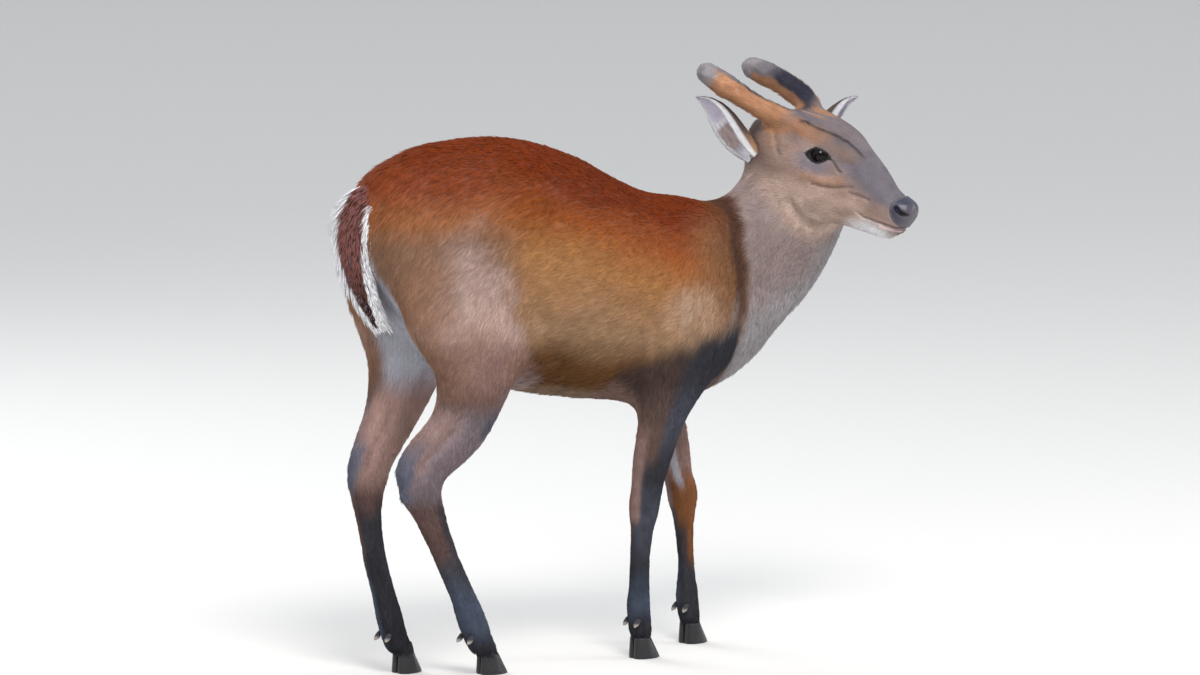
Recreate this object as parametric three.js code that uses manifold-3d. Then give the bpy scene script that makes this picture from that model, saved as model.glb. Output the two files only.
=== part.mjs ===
// A standing male muntjac, life size, in millimetres: +X the way it faces, +Y its left, +Z up.
// The body is one smooth shape made of named masses. It is meshed piece by piece and parted by
// thin cuts, so that neighbouring pieces meet face to face with a narrow gap.
import * as THREE from 'three';
import Module from 'manifold-3d';
import { mergeVertices } from 'three/addons/utils/BufferGeometryUtils.js';

const wasm = await Module();
wasm.setup();

// Driving dimensions.
const GAP = 0.3; // space between pieces that touch
const SIDES = { right: -1, left: 1 };

// Trunk along its length: x, top of the back, bottom of the belly, half width.
const TRUNK = [
  [-302, 564, 492, 36],
  [-278, 589, 462, 54],
  [-235, 611, 408, 72],
  [-175, 614, 350, 85],
  [-105, 598, 318, 93],
  [-30, 563, 303, 94],
  [45, 535, 295, 86],
  [105, 518, 297, 73],
  [145, 508, 322, 58],
];

// Neck from the chest up to the skull: x, y, z, half depth, half width.
const NECK = [
  [112, 0, 418, 92, 62],
  [170, 0, 426, 86, 57],
  [233, 0, 462, 80, 53],
  [273, -6, 516, 71, 49],
  [284, -22, 556, 57, 46],
];

// Haunch, thigh and shank of a hind leg down to the hock: x, y, z, half depth, half width.
const THIGH_RIGHT = [
  [-240, -50, 515, 74, 34],
  [-232, -58, 450, 84, 37],
  [-212, -62, 385, 70, 35],
  [-217, -61, 335, 46, 31],
  [-234, -58, 290, 36, 25],
  [-270, -51, 255, 33, 19],
  [-288, -47, 233, 31, 16],
];
const THIGH_LEFT = [
  [-240, 50, 515, 74, 34],
  [-230, 58, 450, 80, 37],
  [-222, 60, 385, 64, 34],
  [-234, 57, 335, 44, 30],
  [-255, 53, 290, 33, 24],
  [-279, 48, 255, 29, 18],
  [-291, 45, 232, 27, 16],
];

// Cannon and pastern, from the hock or wrist down to the hoof: x, y, z, half depth, half width.
const HIND_CANNON_RIGHT = [
  [-280, -46, 222, 29, 16],
  [-268, -44, 198, 21, 14],
  [-253, -42, 165, 16.5, 12],
  [-235, -39, 130, 15, 11.5],
  [-216, -36, 95, 15, 12.5],
  [-200, -33, 62, 17, 15],
  [-189, -32, 38, 15, 15],
  [-177, -31, 20, 12.8, 13.6],
];
const HIND_CANNON_LEFT = [
  [-292, 44, 222, 26, 16],
  [-292, 43, 198, 19, 14],
  [-289, 41, 165, 14.5, 12],
  [-284, 39, 130, 14, 11.5],
  [-275, 37, 95, 14, 12],
  [-267, 35, 62, 15.5, 14.5],
  [-260, 33.6, 38, 14.3, 14.2],
  [-249.5, 32.5, 19, 13, 13.8],
];
const FOREARM_RIGHT = [
  [75, -54, 440, 52, 26],
  [78, -61, 385, 54, 29],
  [62, -62, 330, 42, 28],
  [50, -54, 285, 31, 23],
  [42, -47, 240, 25, 18],
  [37, -42, 200, 20, 15],
  [34, -39, 172, 16.5, 15],
];
const FOREARM_LEFT = [
  [92, 54, 440, 52, 26],
  [105, 61, 385, 54, 29],
  [112, 62, 330, 42, 28],
  [122, 54, 285, 31, 23],
  [132, 47, 240, 25, 18],
  [141, 42, 200, 18.5, 15],
  [145, 39, 172, 18, 15],
];
const FORE_CANNON_RIGHT = [
  [34, -39, 178, 17, 15],
  [33, -38, 155, 14, 13],
  [31, -36, 120, 12, 11],
  [31, -34, 85, 12, 11.5],
  [31, -33, 60, 14, 13.5],
  [34, -32, 36, 13, 13.5],
  [37.3, -32, 20, 11.9, 13.2],
];
const FORE_CANNON_LEFT = [
  [145, 39, 178, 18.5, 15],
  [146, 38, 155, 14, 13],
  [146, 36, 120, 10, 10.5],
  [147, 34, 85, 10, 10.5],
  [147, 33, 60, 13, 13.5],
  [148.5, 32, 38, 12.6, 13.5],
  [153, 32, 20, 11.6, 13.2],
];

// Legs, with the place and turn of each foot: x, y and heading in degrees.
const LEGS = {
  hind_right: { upper: THIGH_RIGHT, lower: HIND_CANNON_RIGHT, side: -1, foot: [-171, -31, -6], joint: 205 },
  hind_left: { upper: THIGH_LEFT, lower: HIND_CANNON_LEFT, side: 1, foot: [-244, 33, 4], joint: 205 },
  fore_right: { upper: FOREARM_RIGHT, lower: FORE_CANNON_RIGHT, side: -1, foot: [41, -32, -5], joint: 165 },
  fore_left: { upper: FOREARM_LEFT, lower: FORE_CANNON_LEFT, side: 1, foot: [157, 32, 5], joint: 165 },
};

// Hooves: two claws to a foot, each an outline seen from above (forward, away from the cleft) drawn at
// levels of its height, with dewclaws behind the fetlock.
const HOOF = {
  height: 24, between: 1.6, middle: 6.5, lean: 13, heel: 1.4, narrow: 0.16,
  levels: [[0, 0.95], [0.12, 1], [0.55, 1], [1, 1]],
};
const CLAW = [
  [-17, 3], [-14.5, 10], [-6, 13.4], [4, 12.8], [12, 9], [18.4, 2.6], [18.6, 0.8], [10, 0], [-4, 0], [-15.5, 0.6],
];
const DEWCLAW = { back: 15, out: 9.5, up: 41, radius: 4.1, length: 9.5 };

// Where each pair of legs is parted from the trunk: height of the cut at the midline, at one x,
// how it rises along the body and to the side, and the stretch of the body that it can touch.
const LEG_CUTS = {
  hind: { x: -150, z: 333, risePerX: -0.9, risePerY: 0.6, from: -375, to: -105, top: 575 },
  fore: { x: 60, z: 268, risePerX: 0.12, risePerY: 1.15, from: -50, to: 245, top: 450 },
};

// Head, in its own frame: origin midway between the eyes, x to the nose, y left, z up.
const HEAD_PLACE = [276, -58, 569];
const HEAD_TURN = { yaw: -60.6, pitch: -21.3, roll: -2.2 }; // degrees
// x, top of the profile, underside, half width.
const SKULL = [
  [-58, 30, -45, 38],
  [-30, 43, -60, 43],
  [5, 47, -66, 36],
  [32, 38, -67, 29],
  [58, 26, -63, 24],
  [84, 9, -59, 20.5],
  [104, 1, -53, 17.5],
  [113, -3, -46, 14.5],
];
const EYE = { x: 7, y: 29.5, z: 8, radius: 12.5 };
const EYELID = { length: 13, height: 7.8, radius: 1.8, tilt: 13, opening: 9 };
const MOUTH = { depth: 9 };
const NOSTRIL = { x: 118, y: 14.5, z: -15 };

// Pedicles and the short antlers in velvet on them, in the head's frame: x, y, z, half sizes.
const PEDICLES = {
  right: [
    [-8, -23, 33, 14, 12],
    [-45, -32, 31, 14.5, 13],
    [-82, -46, 32, 14.5, 13.5],
    [-112, -54, 38, 15, 14],
    [-149, -62, 46.5, 12, 11.5],
  ],
  left: [
    [-8, 23, 34, 14, 12],
    [-45, 30, 43, 14.5, 14.5],
    [-73, 38, 49.5, 14.5, 16],
    [-108, 47, 53.5, 14, 15],
    [-146, 58, 51, 12, 11.5],
  ],
};
const VELVET_FROM = -112; // x of the cut between pedicle and antler
const PEDICLE_FROM = -38; // x where the pedicle leaves the brow
const BROW = [[32, 14, 32, 7, 6], [8, 20, 36, 10, 9], [-20, 27, 35, 13, 11.5], [-34, 30, 36, 13, 11]];

// Ears: thin cups that open to one side, from root to tip, in the head's frame. The outline is a share of
// the half width at shares of the length, and the bow is how far the middle line bends across.
const EARS = {
  right: { root: [-65.6, -37.4, -23.3], tip: [-149, -62, 14.5], opens: [-0.35, -0.7, -0.62], bow: -3 },
  left: { root: [-42, 37, -20], tip: [-27, 104, 62], opens: [0.85, -0.15, -0.5], bow: 15 },
};
const EAR = {
  half: 26, wall: 2, wrap: [110, 45], rows: 9, across: 9,
  outline: [[0, 0.45], [0.12, 0.62], [0.3, 0.86], [0.5, 1], [0.68, 0.93], [0.82, 0.68], [0.93, 0.36], [1, 0.05]],
};

// Neighbours of the head and the neck part on planes: a point and the way out of the first piece.
const NECK_CUT = { at: [196, 0, 445], out: [0.91, 0, 0.42] };
const HEAD_CUT = { at: [-25, 0, -54], out: [-0.45, -0.25, -0.86] }; // in the head's frame

// Tail: x, y, z, half thickness, half width.
const TAIL = [
  [-308, 0, 554, 15, 17],
  [-328, 0, 538, 16, 21],
  [-338, 0, 508, 16, 23],
  [-335, 0, 468, 14, 21],
  [-319, 0, 430, 11, 14],
  [-301, 0, 400, 7, 7],
];

// Its fringe: locks to a side, their length, half width and half thickness, and how far they flare.
const FRINGE = { count: 9, length: 34, longer: 12, half: 8.8, thick: 3, flare: 0.78, close: 0.2 };

// Edges shorter than this are closed up.
const SHORTEST_EDGE = 0.06;

// Cell sizes of the meshes, finest where the shape is.
const CELLS = {
  torso: [24, 22, 23],
  neck: [15, 15, 15],
  head: [8, 7.6, 7.8],
  upperLeg: [14, 13, 19],
  lowerLeg: [9, 9, 18],
  antler: [10, 10, 10],
  tail: [14, 13, 18],
};

const COLOURS = {
  coat: 0x9a4f22,
  neck: 0x8d7262,
  face: 0x8f7768,
  leg: 0x3a302e,
  white: 0xe8e2da,
  velvet: 0x7c7069,
  pedicle: 0xb0662c,
  horn: 0x1c1b1c,
  eye: 0x0b0908,
};

// Small vector helpers on plain arrays.
const add = (a, b) => [a[0] + b[0], a[1] + b[1], a[2] + b[2]];
const sub = (a, b) => [a[0] - b[0], a[1] - b[1], a[2] - b[2]];
const scale = (a, s) => [a[0] * s, a[1] * s, a[2] * s];
const dot = (a, b) => a[0] * b[0] + a[1] * b[1] + a[2] * b[2];
const cross = (a, b) => [a[1] * b[2] - a[2] * b[1], a[2] * b[0] - a[0] * b[2], a[0] * b[1] - a[1] * b[0]];
const unit = (a) => scale(a, 1 / Math.hypot(...a));
const mix = (a, b, t) => a.map((v, i) => v + (b[i] - v) * t);

// One smooth curve through rows of numbers, as a finer list of rows.
function smoothRows(rows, steps) {
  const out = [];
  const last = rows.length - 1;
  for (let i = 0; i < last; i += 1) {
    const [a, b, c, d] = [rows[Math.max(i - 1, 0)], rows[i], rows[i + 1], rows[Math.min(i + 2, last)]];
    for (let s = 0; s < steps; s += 1) {
      const t = s / steps;
      out.push(b.map((v, k) => {
        const bend = 2 * a[k] - 5 * v + 4 * c[k] - d[k];
        const twist = -a[k] + 3 * v - 3 * c[k] + d[k];
        return v + 0.5 * t * (c[k] - a[k] + t * (bend + t * twist));
      }));
    }
  }
  out.push(rows[last]);
  return out;
}

// Distance to a long mass whose section is a rounded oval that changes along a curved line.
function limb(rows, { side = [0, 1, 0], power = 2, steps = 4 } = {}) {
  const fine = smoothRows(rows, steps);
  const parts = fine.slice(1).map((b, i) => {
    const a = fine[i];
    const run = sub(b, a);
    const length = Math.hypot(...run);
    const along = scale(run, 1 / length);
    const across = unit(sub(side, scale(along, dot(side, along))));
    return { a, b, along, across, deep: cross(along, across), length };
  });
  const reach = Math.max(...rows.map((r) => Math.max(r[3], r[4])));
  const distance = (p) => {
    let best = Infinity;
    for (const s of parts) {
      const q = [p[0] - s.a[0], p[1] - s.a[1], p[2] - s.a[2]];
      const run = dot(q, s.along);
      const t = Math.min(Math.max(run / s.length, 0), 1);
      const deep = s.a[3] + (s.b[3] - s.a[3]) * t;
      const wide = s.a[4] + (s.b[4] - s.a[4]) * t;
      const u = Math.abs(dot(q, s.deep)) / deep;
      const v = Math.abs(dot(q, s.across)) / wide;
      const end = Math.min(deep, wide);
      const w = Math.abs(run - t * s.length) / end;
      const [a, b, c] = [u ** (power - 1), v ** (power - 1), w ** (power - 1)];
      const norm = (a * u + b * v + c * w) ** (1 / power);
      if (norm < 0.05) {
        best = Math.min(best, -0.95 * end);
      } else {
        const slope = Math.sqrt((a / deep) ** 2 + (b / wide) ** 2 + (c / end) ** 2);
        best = Math.min(best, ((norm - 1) * norm ** (power - 1)) / slope);
      }
    }
    return best;
  };
  return withReach(distance, fine, reach);
}

// Distance to an ellipsoid, turned about the lateral axis by a pitch in degrees.
function lump(centre, radii, pitch = 0) {
  const turn = THREE.MathUtils.degToRad(pitch);
  const [c, s] = [Math.cos(turn), Math.sin(turn)];
  const distance = (p) => {
    const q = [p[0] - centre[0], p[1] - centre[1], p[2] - centre[2]];
    const r = [(c * q[0] + s * q[2]) / radii[0], q[1] / radii[1], (c * q[2] - s * q[0]) / radii[2]];
    const norm = Math.hypot(...r);
    const slope = Math.hypot(r[0] / radii[0], r[1] / radii[1], r[2] / radii[2]);
    return slope < 1e-9 ? -Math.min(...radii) : (norm * (norm - 1)) / slope;
  };
  return withReach(distance, [centre], Math.max(...radii));
}

// A mass far from a point answers with the distance to its box, which saves time.
function withReach(distance, points, reach) {
  const low = [0, 1, 2].map((k) => Math.min(...points.map((p) => p[k])) - reach);
  const high = [0, 1, 2].map((k) => Math.max(...points.map((p) => p[k])) + reach);
  const margin = 60;
  return (p) => {
    const x = Math.max(low[0] - p[0], p[0] - high[0], 0);
    const y = Math.max(low[1] - p[1], p[1] - high[1], 0);
    const z = Math.max(low[2] - p[2], p[2] - high[2], 0);
    const far = Math.sqrt(x * x + y * y + z * z);
    return far > margin ? far : distance(p);
  };
}

// Smooth union of two distances, blended over a width.
function blend(a, b, width) {
  const near = Math.max(width - Math.abs(a - b), 0) / width;
  return Math.min(a, b) - near * near * width * 0.25;
}

// Smooth union of masses, each given with its blend width.
const join = (masses) => (p) => masses.reduce((d, [mass, width]) => blend(d, mass(p), width), 1e6);

// Smooth mesh of a field inside a box: one vertex in each crossed cell, pulled on to the surface.
function surface(field, low, high, cell) {
  const count = [0, 1, 2].map((k) => Math.ceil((high[k] - low[k]) / cell[k]) + 1);
  const at = (i, j, k) => i + count[0] * (j + count[1] * k);
  const place = (i, j, k) => [low[0] + i * cell[0], low[1] + j * cell[1], low[2] + k * cell[2]];
  const value = new Float64Array(count[0] * count[1] * count[2]);
  for (let k = 0; k < count[2]; k += 1) {
    for (let j = 0; j < count[1]; j += 1) {
      for (let i = 0; i < count[0]; i += 1) {
        const rim = [i, j, k].some((n, axis) => n === 0 || n === count[axis] - 1);
        value[at(i, j, k)] = rim ? Math.max(field(place(i, j, k)), 1) : field(place(i, j, k));
      }
    }
  }
  const points = [];
  const vertexOf = new Int32Array(value.length).fill(-1);
  const corners = [0, 1, 2, 3, 4, 5, 6, 7].map((n) => [n & 1, (n >> 1) & 1, n >> 2]);
  const edges = [[0, 1], [2, 3], [4, 5], [6, 7], [0, 2], [1, 3], [4, 6], [5, 7], [0, 4], [1, 5], [2, 6], [3, 7]];
  for (let k = 0; k < count[2] - 1; k += 1) {
    for (let j = 0; j < count[1] - 1; j += 1) {
      for (let i = 0; i < count[0] - 1; i += 1) {
        const f = corners.map(([a, b, c]) => value[at(i + a, j + b, k + c)]);
        const crossings = edges.filter(([a, b]) => f[a] < 0 !== f[b] < 0);
        if (crossings.length > 0) {
          const sum = crossings.reduce((total, [a, b]) => {
            const t = f[a] / (f[a] - f[b]);
            return add(total, mix(corners[a], corners[b], t));
          }, [0, 0, 0]);
          const mean = scale(sum, 1 / crossings.length);
          vertexOf[at(i, j, k)] = points.length;
          points.push(place(i + mean[0], j + mean[1], k + mean[2]));
        }
      }
    }
  }
  const triangles = [];
  const quad = (a, b, c, d, flip) => {
    const ring = flip ? [d, c, b, a] : [a, b, c, d];
    const [p, q, r, s] = ring.map((n) => points[n]);
    const short = Math.hypot(...sub(p, r)) <= Math.hypot(...sub(q, s));
    const order = short ? [0, 1, 2, 0, 2, 3] : [0, 1, 3, 1, 2, 3];
    order.forEach((n) => triangles.push(ring[n]));
  };
  for (let k = 0; k < count[2] - 1; k += 1) {
    for (let j = 0; j < count[1] - 1; j += 1) {
      for (let i = 0; i < count[0] - 1; i += 1) {
        const inside = value[at(i, j, k)] < 0;
        const v = (a, b, c) => vertexOf[at(i + a, j + b, k + c)];
        if (j > 0 && k > 0 && inside !== value[at(i + 1, j, k)] < 0) {
          quad(v(0, -1, -1), v(0, 0, -1), v(0, 0, 0), v(0, -1, 0), !inside);
        }
        if (i > 0 && k > 0 && inside !== value[at(i, j + 1, k)] < 0) {
          quad(v(-1, 0, -1), v(-1, 0, 0), v(0, 0, 0), v(0, 0, -1), !inside);
        }
        if (i > 0 && j > 0 && inside !== value[at(i, j, k + 1)] < 0) {
          quad(v(-1, -1, 0), v(0, -1, 0), v(0, 0, 0), v(-1, 0, 0), !inside);
        }
      }
    }
  }
  const limit = Math.min(...cell) * 0.6;
  return { points: points.map((p) => settle(field, p, limit)), triangles };
}

// Move a point along the slope of a field until it lies on the surface, or as far as allowed.
function settle(field, start, limit) {
  let p = start;
  const h = 0.5;
  for (let round = 0; round < 3; round += 1) {
    const f = field(p);
    const slope = [0, 1, 2].map((k) => {
      const ahead = [...p];
      ahead[k] += h;
      return (field(ahead) - f) / h;
    });
    const steep = Math.max(dot(slope, slope), 0.25);
    p = sub(p, scale(slope, f / steep));
  }
  const moved = sub(p, start);
  const far = Math.hypot(...moved);
  return far > limit ? add(start, scale(moved, limit / far)) : p;
}

// A closed mesh as a solid.
function solidOf({ points, triangles }) {
  const mesh = new wasm.Mesh({
    numProp: 3,
    vertProperties: new Float32Array(points.flat()),
    triVerts: new Uint32Array(triangles),
  });
  mesh.merge();
  return new wasm.Manifold(mesh);
}

// A three.js geometry, moved by a matrix, as a solid.
function solidOfGeometry(geometry, matrix = new THREE.Matrix4()) {
  const bare = geometry.clone().applyMatrix4(matrix);
  bare.deleteAttribute('normal');
  bare.deleteAttribute('uv');
  const merged = mergeVertices(bare, 1e-4);
  const points = [];
  for (let i = 0; i < merged.attributes.position.count; i += 1) {
    points.push(new THREE.Vector3().fromBufferAttribute(merged.attributes.position, i).toArray());
  }
  return solidOf({ points, triangles: [...merged.index.array] });
}

// The largest closed surface of a solid.
function largest(solid) {
  const pieces = solid.decompose();
  return pieces.reduce((best, piece) => (piece.volume() > best.volume() ? piece : best));
}

// Points and triangles of a solid.
function rawOf(solid) {
  const mesh = solid.getMesh();
  const points = [];
  for (let i = 0; i < mesh.vertProperties.length; i += mesh.numProp) {
    points.push([...mesh.vertProperties.slice(i, i + 3)]);
  }
  return { points, triangles: [...mesh.triVerts] };
}

// The same closed mesh with every vertex moved out along its normal.
function swell({ points, triangles }, amount) {
  const normals = points.map(() => [0, 0, 0]);
  for (let i = 0; i < triangles.length; i += 3) {
    const [a, b, c] = triangles.slice(i, i + 3);
    const face = cross(sub(points[b], points[a]), sub(points[c], points[a]));
    [a, b, c].forEach((n) => { normals[n] = add(normals[n], face); });
  }
  const moved = points.map((p, i) => {
    const length = Math.hypot(...normals[i]);
    return length > 0 ? add(p, scale(normals[i], amount / length)) : p;
  });
  return { points: moved, triangles };
}

// A solid with a narrow gap round it, to cut its neighbours with.
function withGap(solid) {
  return solidOf(swell(rawOf(solid), 1.5 * GAP)).add(solid);
}

// Keep what lies behind a plane, given a point on it and the way out.
function trim(solid, at, out, slack = 0) {
  const n = unit(out);
  return solid.trimByPlane(scale(n, -1), -(dot(n, at) + slack));
}

// Closed mesh through rings of points, capped at both ends.
function skinOver(rings) {
  const points = rings.flat();
  const n = rings[0].length;
  const triangles = [];
  for (let r = 0; r < rings.length - 1; r += 1) {
    for (let i = 0; i < n; i += 1) {
      const [a, b] = [r * n + i, r * n + ((i + 1) % n)];
      triangles.push(a, b, b + n, a, b + n, a + n);
    }
  }
  const centre = (ring) => scale(ring.reduce(add), 1 / n);
  const [first, last] = [points.length, points.length + 1];
  points.push(centre(rings[0]), centre(rings[rings.length - 1]));
  const top = (rings.length - 1) * n;
  for (let i = 0; i < n; i += 1) {
    triangles.push(first, (i + 1) % n, i, last, top + i, top + ((i + 1) % n));
  }
  return { points, triangles };
}

// Tapered bent rod through rows of x, y, z, half depth, half width.
function rod(rows, { side = [0, 1, 0], around = 8 } = {}) {
  const rings = rows.map((row, i) => {
    const along = unit(sub(rows[Math.min(i + 1, rows.length - 1)], rows[Math.max(i - 1, 0)]));
    const across = unit(sub(side, scale(along, dot(side, along))));
    const deep = cross(along, across);
    return Array.from({ length: around }, (_, k) => {
      const angle = (2 * Math.PI * k) / around;
      const flat = scale(across, row[4] * Math.cos(angle));
      const tall = scale(deep, row[3] * Math.sin(angle));
      return add(row, add(flat, tall));
    });
  });
  const solid = solidOf(skinOver(rings));
  return solid.volume() > 0 ? solid : solidOf(skinOver(rings.reverse()));
}

// Rows of the trunk and skull as centre rows for a limb.
const sectionRows = (rows) => rows.map(([x, top, bottom, half]) => [x, 0, (top + bottom) / 2, (top - bottom) / 2, half]);
const mirrored = (rows, side) => rows.map(([x, y, ...rest]) => [x, y * side, ...rest]);

// The head's frame.
const headMatrix = (() => {
  const { yaw, pitch, roll } = HEAD_TURN;
  const [a, b, c] = [yaw, -pitch, roll].map(THREE.MathUtils.degToRad);
  const turn = new THREE.Matrix4().makeRotationZ(a);
  turn.multiply(new THREE.Matrix4().makeRotationY(b)).multiply(new THREE.Matrix4().makeRotationX(c));
  return new THREE.Matrix4().makeTranslation(...HEAD_PLACE).multiply(turn);
})();
const headInverse = headMatrix.clone().invert();
function transformed(matrix, p, isDirection = false) {
  const e = matrix.elements;
  const w = isDirection ? 0 : 1;
  return [0, 1, 2].map((k) => e[k] * p[0] + e[4 + k] * p[1] + e[8 + k] * p[2] + e[12 + k] * w);
}
const toWorld = (p) => transformed(headMatrix, p);
const toHead = (p) => transformed(headInverse, p);

// Masses of the head in its own frame.
function headField() {
  const masses = [[limb(sectionRows(SKULL), { power: 2.2 }), 1]];
  Object.values(SIDES).forEach((side) => {
    masses.push([lump([-12, side * 26, -32], [36, 17, 30]), 14]); // cheek
    masses.push([limb(mirrored(BROW, side)), 10]);
    masses.push([lump([EYE.x, side * EYE.y, EYE.z], [18, 10.5, 15]), 9]); // rim of the eye
    masses.push([lump([-50, side * 38, -6], [17, 13, 20]), 12]); // root of the ear
    masses.push([lump([100, side * 10, -23], [19, 9, 12]), 8]); // upper lip
  });
  masses.push([lump([120.5, 0, -14.5], [12, 16, 13.5]), 6]); // nose pad
  masses.push([lump([97, 0, -46], [20, 12.5, 10]), 6]); // chin
  return join(masses);
}

// The body without its legs, and with those of one side.
const headDistance = headField();
const trunk = join([
  [limb(sectionRows(TRUNK), { power: 2.1 }), 1],
  [limb(NECK, { power: 2 }), 55],
]);
const neckAndHead = (p) => blend(trunk(p), headDistance(toHead(p)), 26);

function sideMasses(side) {
  const masses = [];
  Object.entries(LEGS).filter(([, leg]) => leg.side === side).forEach(([name, leg]) => {
    const hind = name.startsWith('hind');
    masses.push([limb(leg.upper), hind ? 26 : 30]);
    masses.push([limb(leg.lower), 8]);
  });
  masses.push([lump([88, side * 46, 455], [42, 24, 62], -20), 30]); // shoulder blade
  masses.push([lump([124, side * 44, 388], [34, 26, 38]), 30]); // point of the shoulder
  masses.push([lump([-298, side * 38, 490], [30, 24, 42]), 22]); // seat bone
  masses.push([lump([-150, side * 62, 545], [36, 24, 30]), 30]); // hip
  return masses;
}
const grow = (masses, p, start) => masses.reduce((d, [mass, width]) => blend(d, mass(p), width), start);
const rightMasses = sideMasses(SIDES.right);
const leftMasses = sideMasses(SIDES.left);
const rightField = (p) => grow(rightMasses, p, neckAndHead(p));
const leftField = (p) => grow(leftMasses, p, neckAndHead(p));
function body(p) {
  const middle = neckAndHead(p);
  return Math.min(grow(rightMasses, p, middle), grow(leftMasses, p, middle));
}

// The space that the upper part of one leg takes, as planes: a point and the way out.
function legPlanes(kind, side) {
  const cut = LEG_CUTS[kind];
  const middle = { at: [0, 0, 0], out: [0, -side, 0] };
  const top = { at: [cut.x, 0, cut.z], out: [-cut.risePerX, -side * cut.risePerY, 1] };
  const back = { at: [cut.from, 0, 0], out: [-1, 0, 0] };
  const front = { at: [cut.to, 0, 0], out: [1, 0, 0] };
  return [middle, top, back, front];
}

function legBlock(kind, side) {
  const box = new THREE.BoxGeometry(1200, 400, 1200);
  return legPlanes(kind, side).reduce((solid, { at, out }) => trim(solid, at, out, GAP / 2), solidOfGeometry(box));
}

const material = (colour, roughness = 0.85) => new THREE.MeshStandardMaterial({ color: colour, roughness, metalness: 0 });
const looks = {
  coat: material(COLOURS.coat),
  neck: material(COLOURS.neck),
  face: material(COLOURS.face),
  leg: material(COLOURS.leg),
  white: material(COLOURS.white),
  velvet: material(COLOURS.velvet),
  pedicle: material(COLOURS.pedicle),
  horn: material(COLOURS.horn, 0.45),
  eye: material(COLOURS.eye, 0.1),
};

// Draw together the ends of edges too short to matter, and drop the triangles that collapse.
function weld({ points, triangles }) {
  const owner = points.map((_, i) => i);
  const find = (i) => {
    while (owner[i] !== i) i = owner[i];
    return i;
  };
  for (let i = 0; i < triangles.length; i += 1) {
    const [a, b] = [triangles[i], triangles[i % 3 === 2 ? i - 2 : i + 1]];
    if (Math.hypot(...sub(points[a], points[b])) < SHORTEST_EDGE) owner[find(a)] = find(b);
  }
  const kept = [];
  for (let i = 0; i < triangles.length; i += 3) {
    const [a, b, c] = triangles.slice(i, i + 3).map(find);
    if (a !== b && b !== c && c !== a) kept.push(a, b, c);
  }
  return { points, triangles: kept };
}

const animal = new THREE.Group();
function put(name, solid, look) {
  const { points, triangles } = weld(rawOf(largest(solid)));
  const geometry = new THREE.BufferGeometry();
  geometry.setAttribute('position', new THREE.Float32BufferAttribute(points.flat(), 3));
  geometry.setIndex(triangles);
  geometry.computeVertexNormals();
  const mesh = new THREE.Mesh(geometry, look);
  mesh.name = name;
  animal.add(mesh);
}

// Torso.
function makeTorso() {
  let solid = solidOf(surface(body, [-372, -150, 230], [262, 150, 640], CELLS.torso));
  solid = trim(solid, NECK_CUT.at, NECK_CUT.out, -GAP / 2);
  ['hind', 'fore'].forEach((kind) => {
    Object.values(SIDES).forEach((side) => { solid = solid.subtract(legBlock(kind, side)); });
  });
  return solid;
}

// Neck between the two planes.
function makeNeck() {
  let solid = solidOf(surface(body, [120, -110, 330], [345, 110, 620], CELLS.neck));
  solid = trim(solid, NECK_CUT.at, scale(NECK_CUT.out, -1), -GAP / 2);
  const at = toWorld(HEAD_CUT.at);
  const out = transformed(headMatrix, HEAD_CUT.out, true);
  return trim(solid, at, scale(out, -1), -GAP / 2);
}

// Upper leg: the part of the body in the leg's space, above the hock or wrist.
function makeUpperLeg(name, leg) {
  const kind = name.split('_')[0];
  const cut = LEG_CUTS[kind];
  const low = [cut.from - 12, -150, leg.joint - 30];
  const high = [cut.to + 12, 150, cut.top];
  const start = leg.side < 0 ? [low, [high[0], 12, high[2]]] : [[low[0], -12, low[2]], high];
  const own = leg.side < 0 ? rightField : leftField;
  let solid = solidOf(surface(own, ...start, CELLS.upperLeg));
  legPlanes(kind, leg.side).forEach(({ at, out }) => { solid = trim(solid, at, out, -GAP / 2); });
  return trim(solid, [0, 0, leg.joint], [0, 0, -1], -GAP / 2);
}

// Lower leg down to the top of the hooves.
function makeLowerLeg(leg) {
  const xs = leg.lower.map((row) => row[0]);
  const ys = leg.lower.map((row) => row[1]);
  const low = [Math.min(...xs) - 45, Math.min(...ys) - 32, 2];
  const high = [Math.max(...xs) + 45, Math.max(...ys) + 32, leg.joint + 25];
  const own = leg.side < 0 ? rightField : leftField;
  let solid = solidOf(surface(own, low, high, CELLS.lowerLeg));
  solid = trim(solid, [0, 0, leg.joint], [0, 0, 1], -GAP / 2);
  return trim(solid, [0, 0, HOOF.height], [0, 0, -1], -GAP / 2);
}

// A claw is a stack of outlines: level, how far the toe has leaned back, and how much it is inset.
function makeClaw(leg, side) {
  const [x, y, heading] = leg.foot;
  const rings = HOOF.levels.map(([t, inset]) => CLAW.map(([u, v]) => {
    const front = THREE.MathUtils.smoothstep(u, -10, 18);
    const width = (v - HOOF.middle) * (1 - HOOF.narrow * t * t) * inset;
    return [
      u * inset - HOOF.lean * t * front + HOOF.heel * t * (1 - front),
      side * (HOOF.between / 2 + HOOF.middle + width),
      HOOF.height * t,
    ];
  }));
  const turn = new THREE.Matrix4().makeRotationZ(THREE.MathUtils.degToRad(heading));
  turn.setPosition(x, y, 0);
  const placed = rings.map((ring) => ring.map((p) => transformed(turn, p)));
  const solid = solidOf(skinOver(placed));
  const right = solid.volume() > 0 ? solid : solidOf(skinOver(placed.reverse()));
  return trim(right, [0, 0, HOOF.height - GAP / 2], [0, 0, 1]);
}

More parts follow.
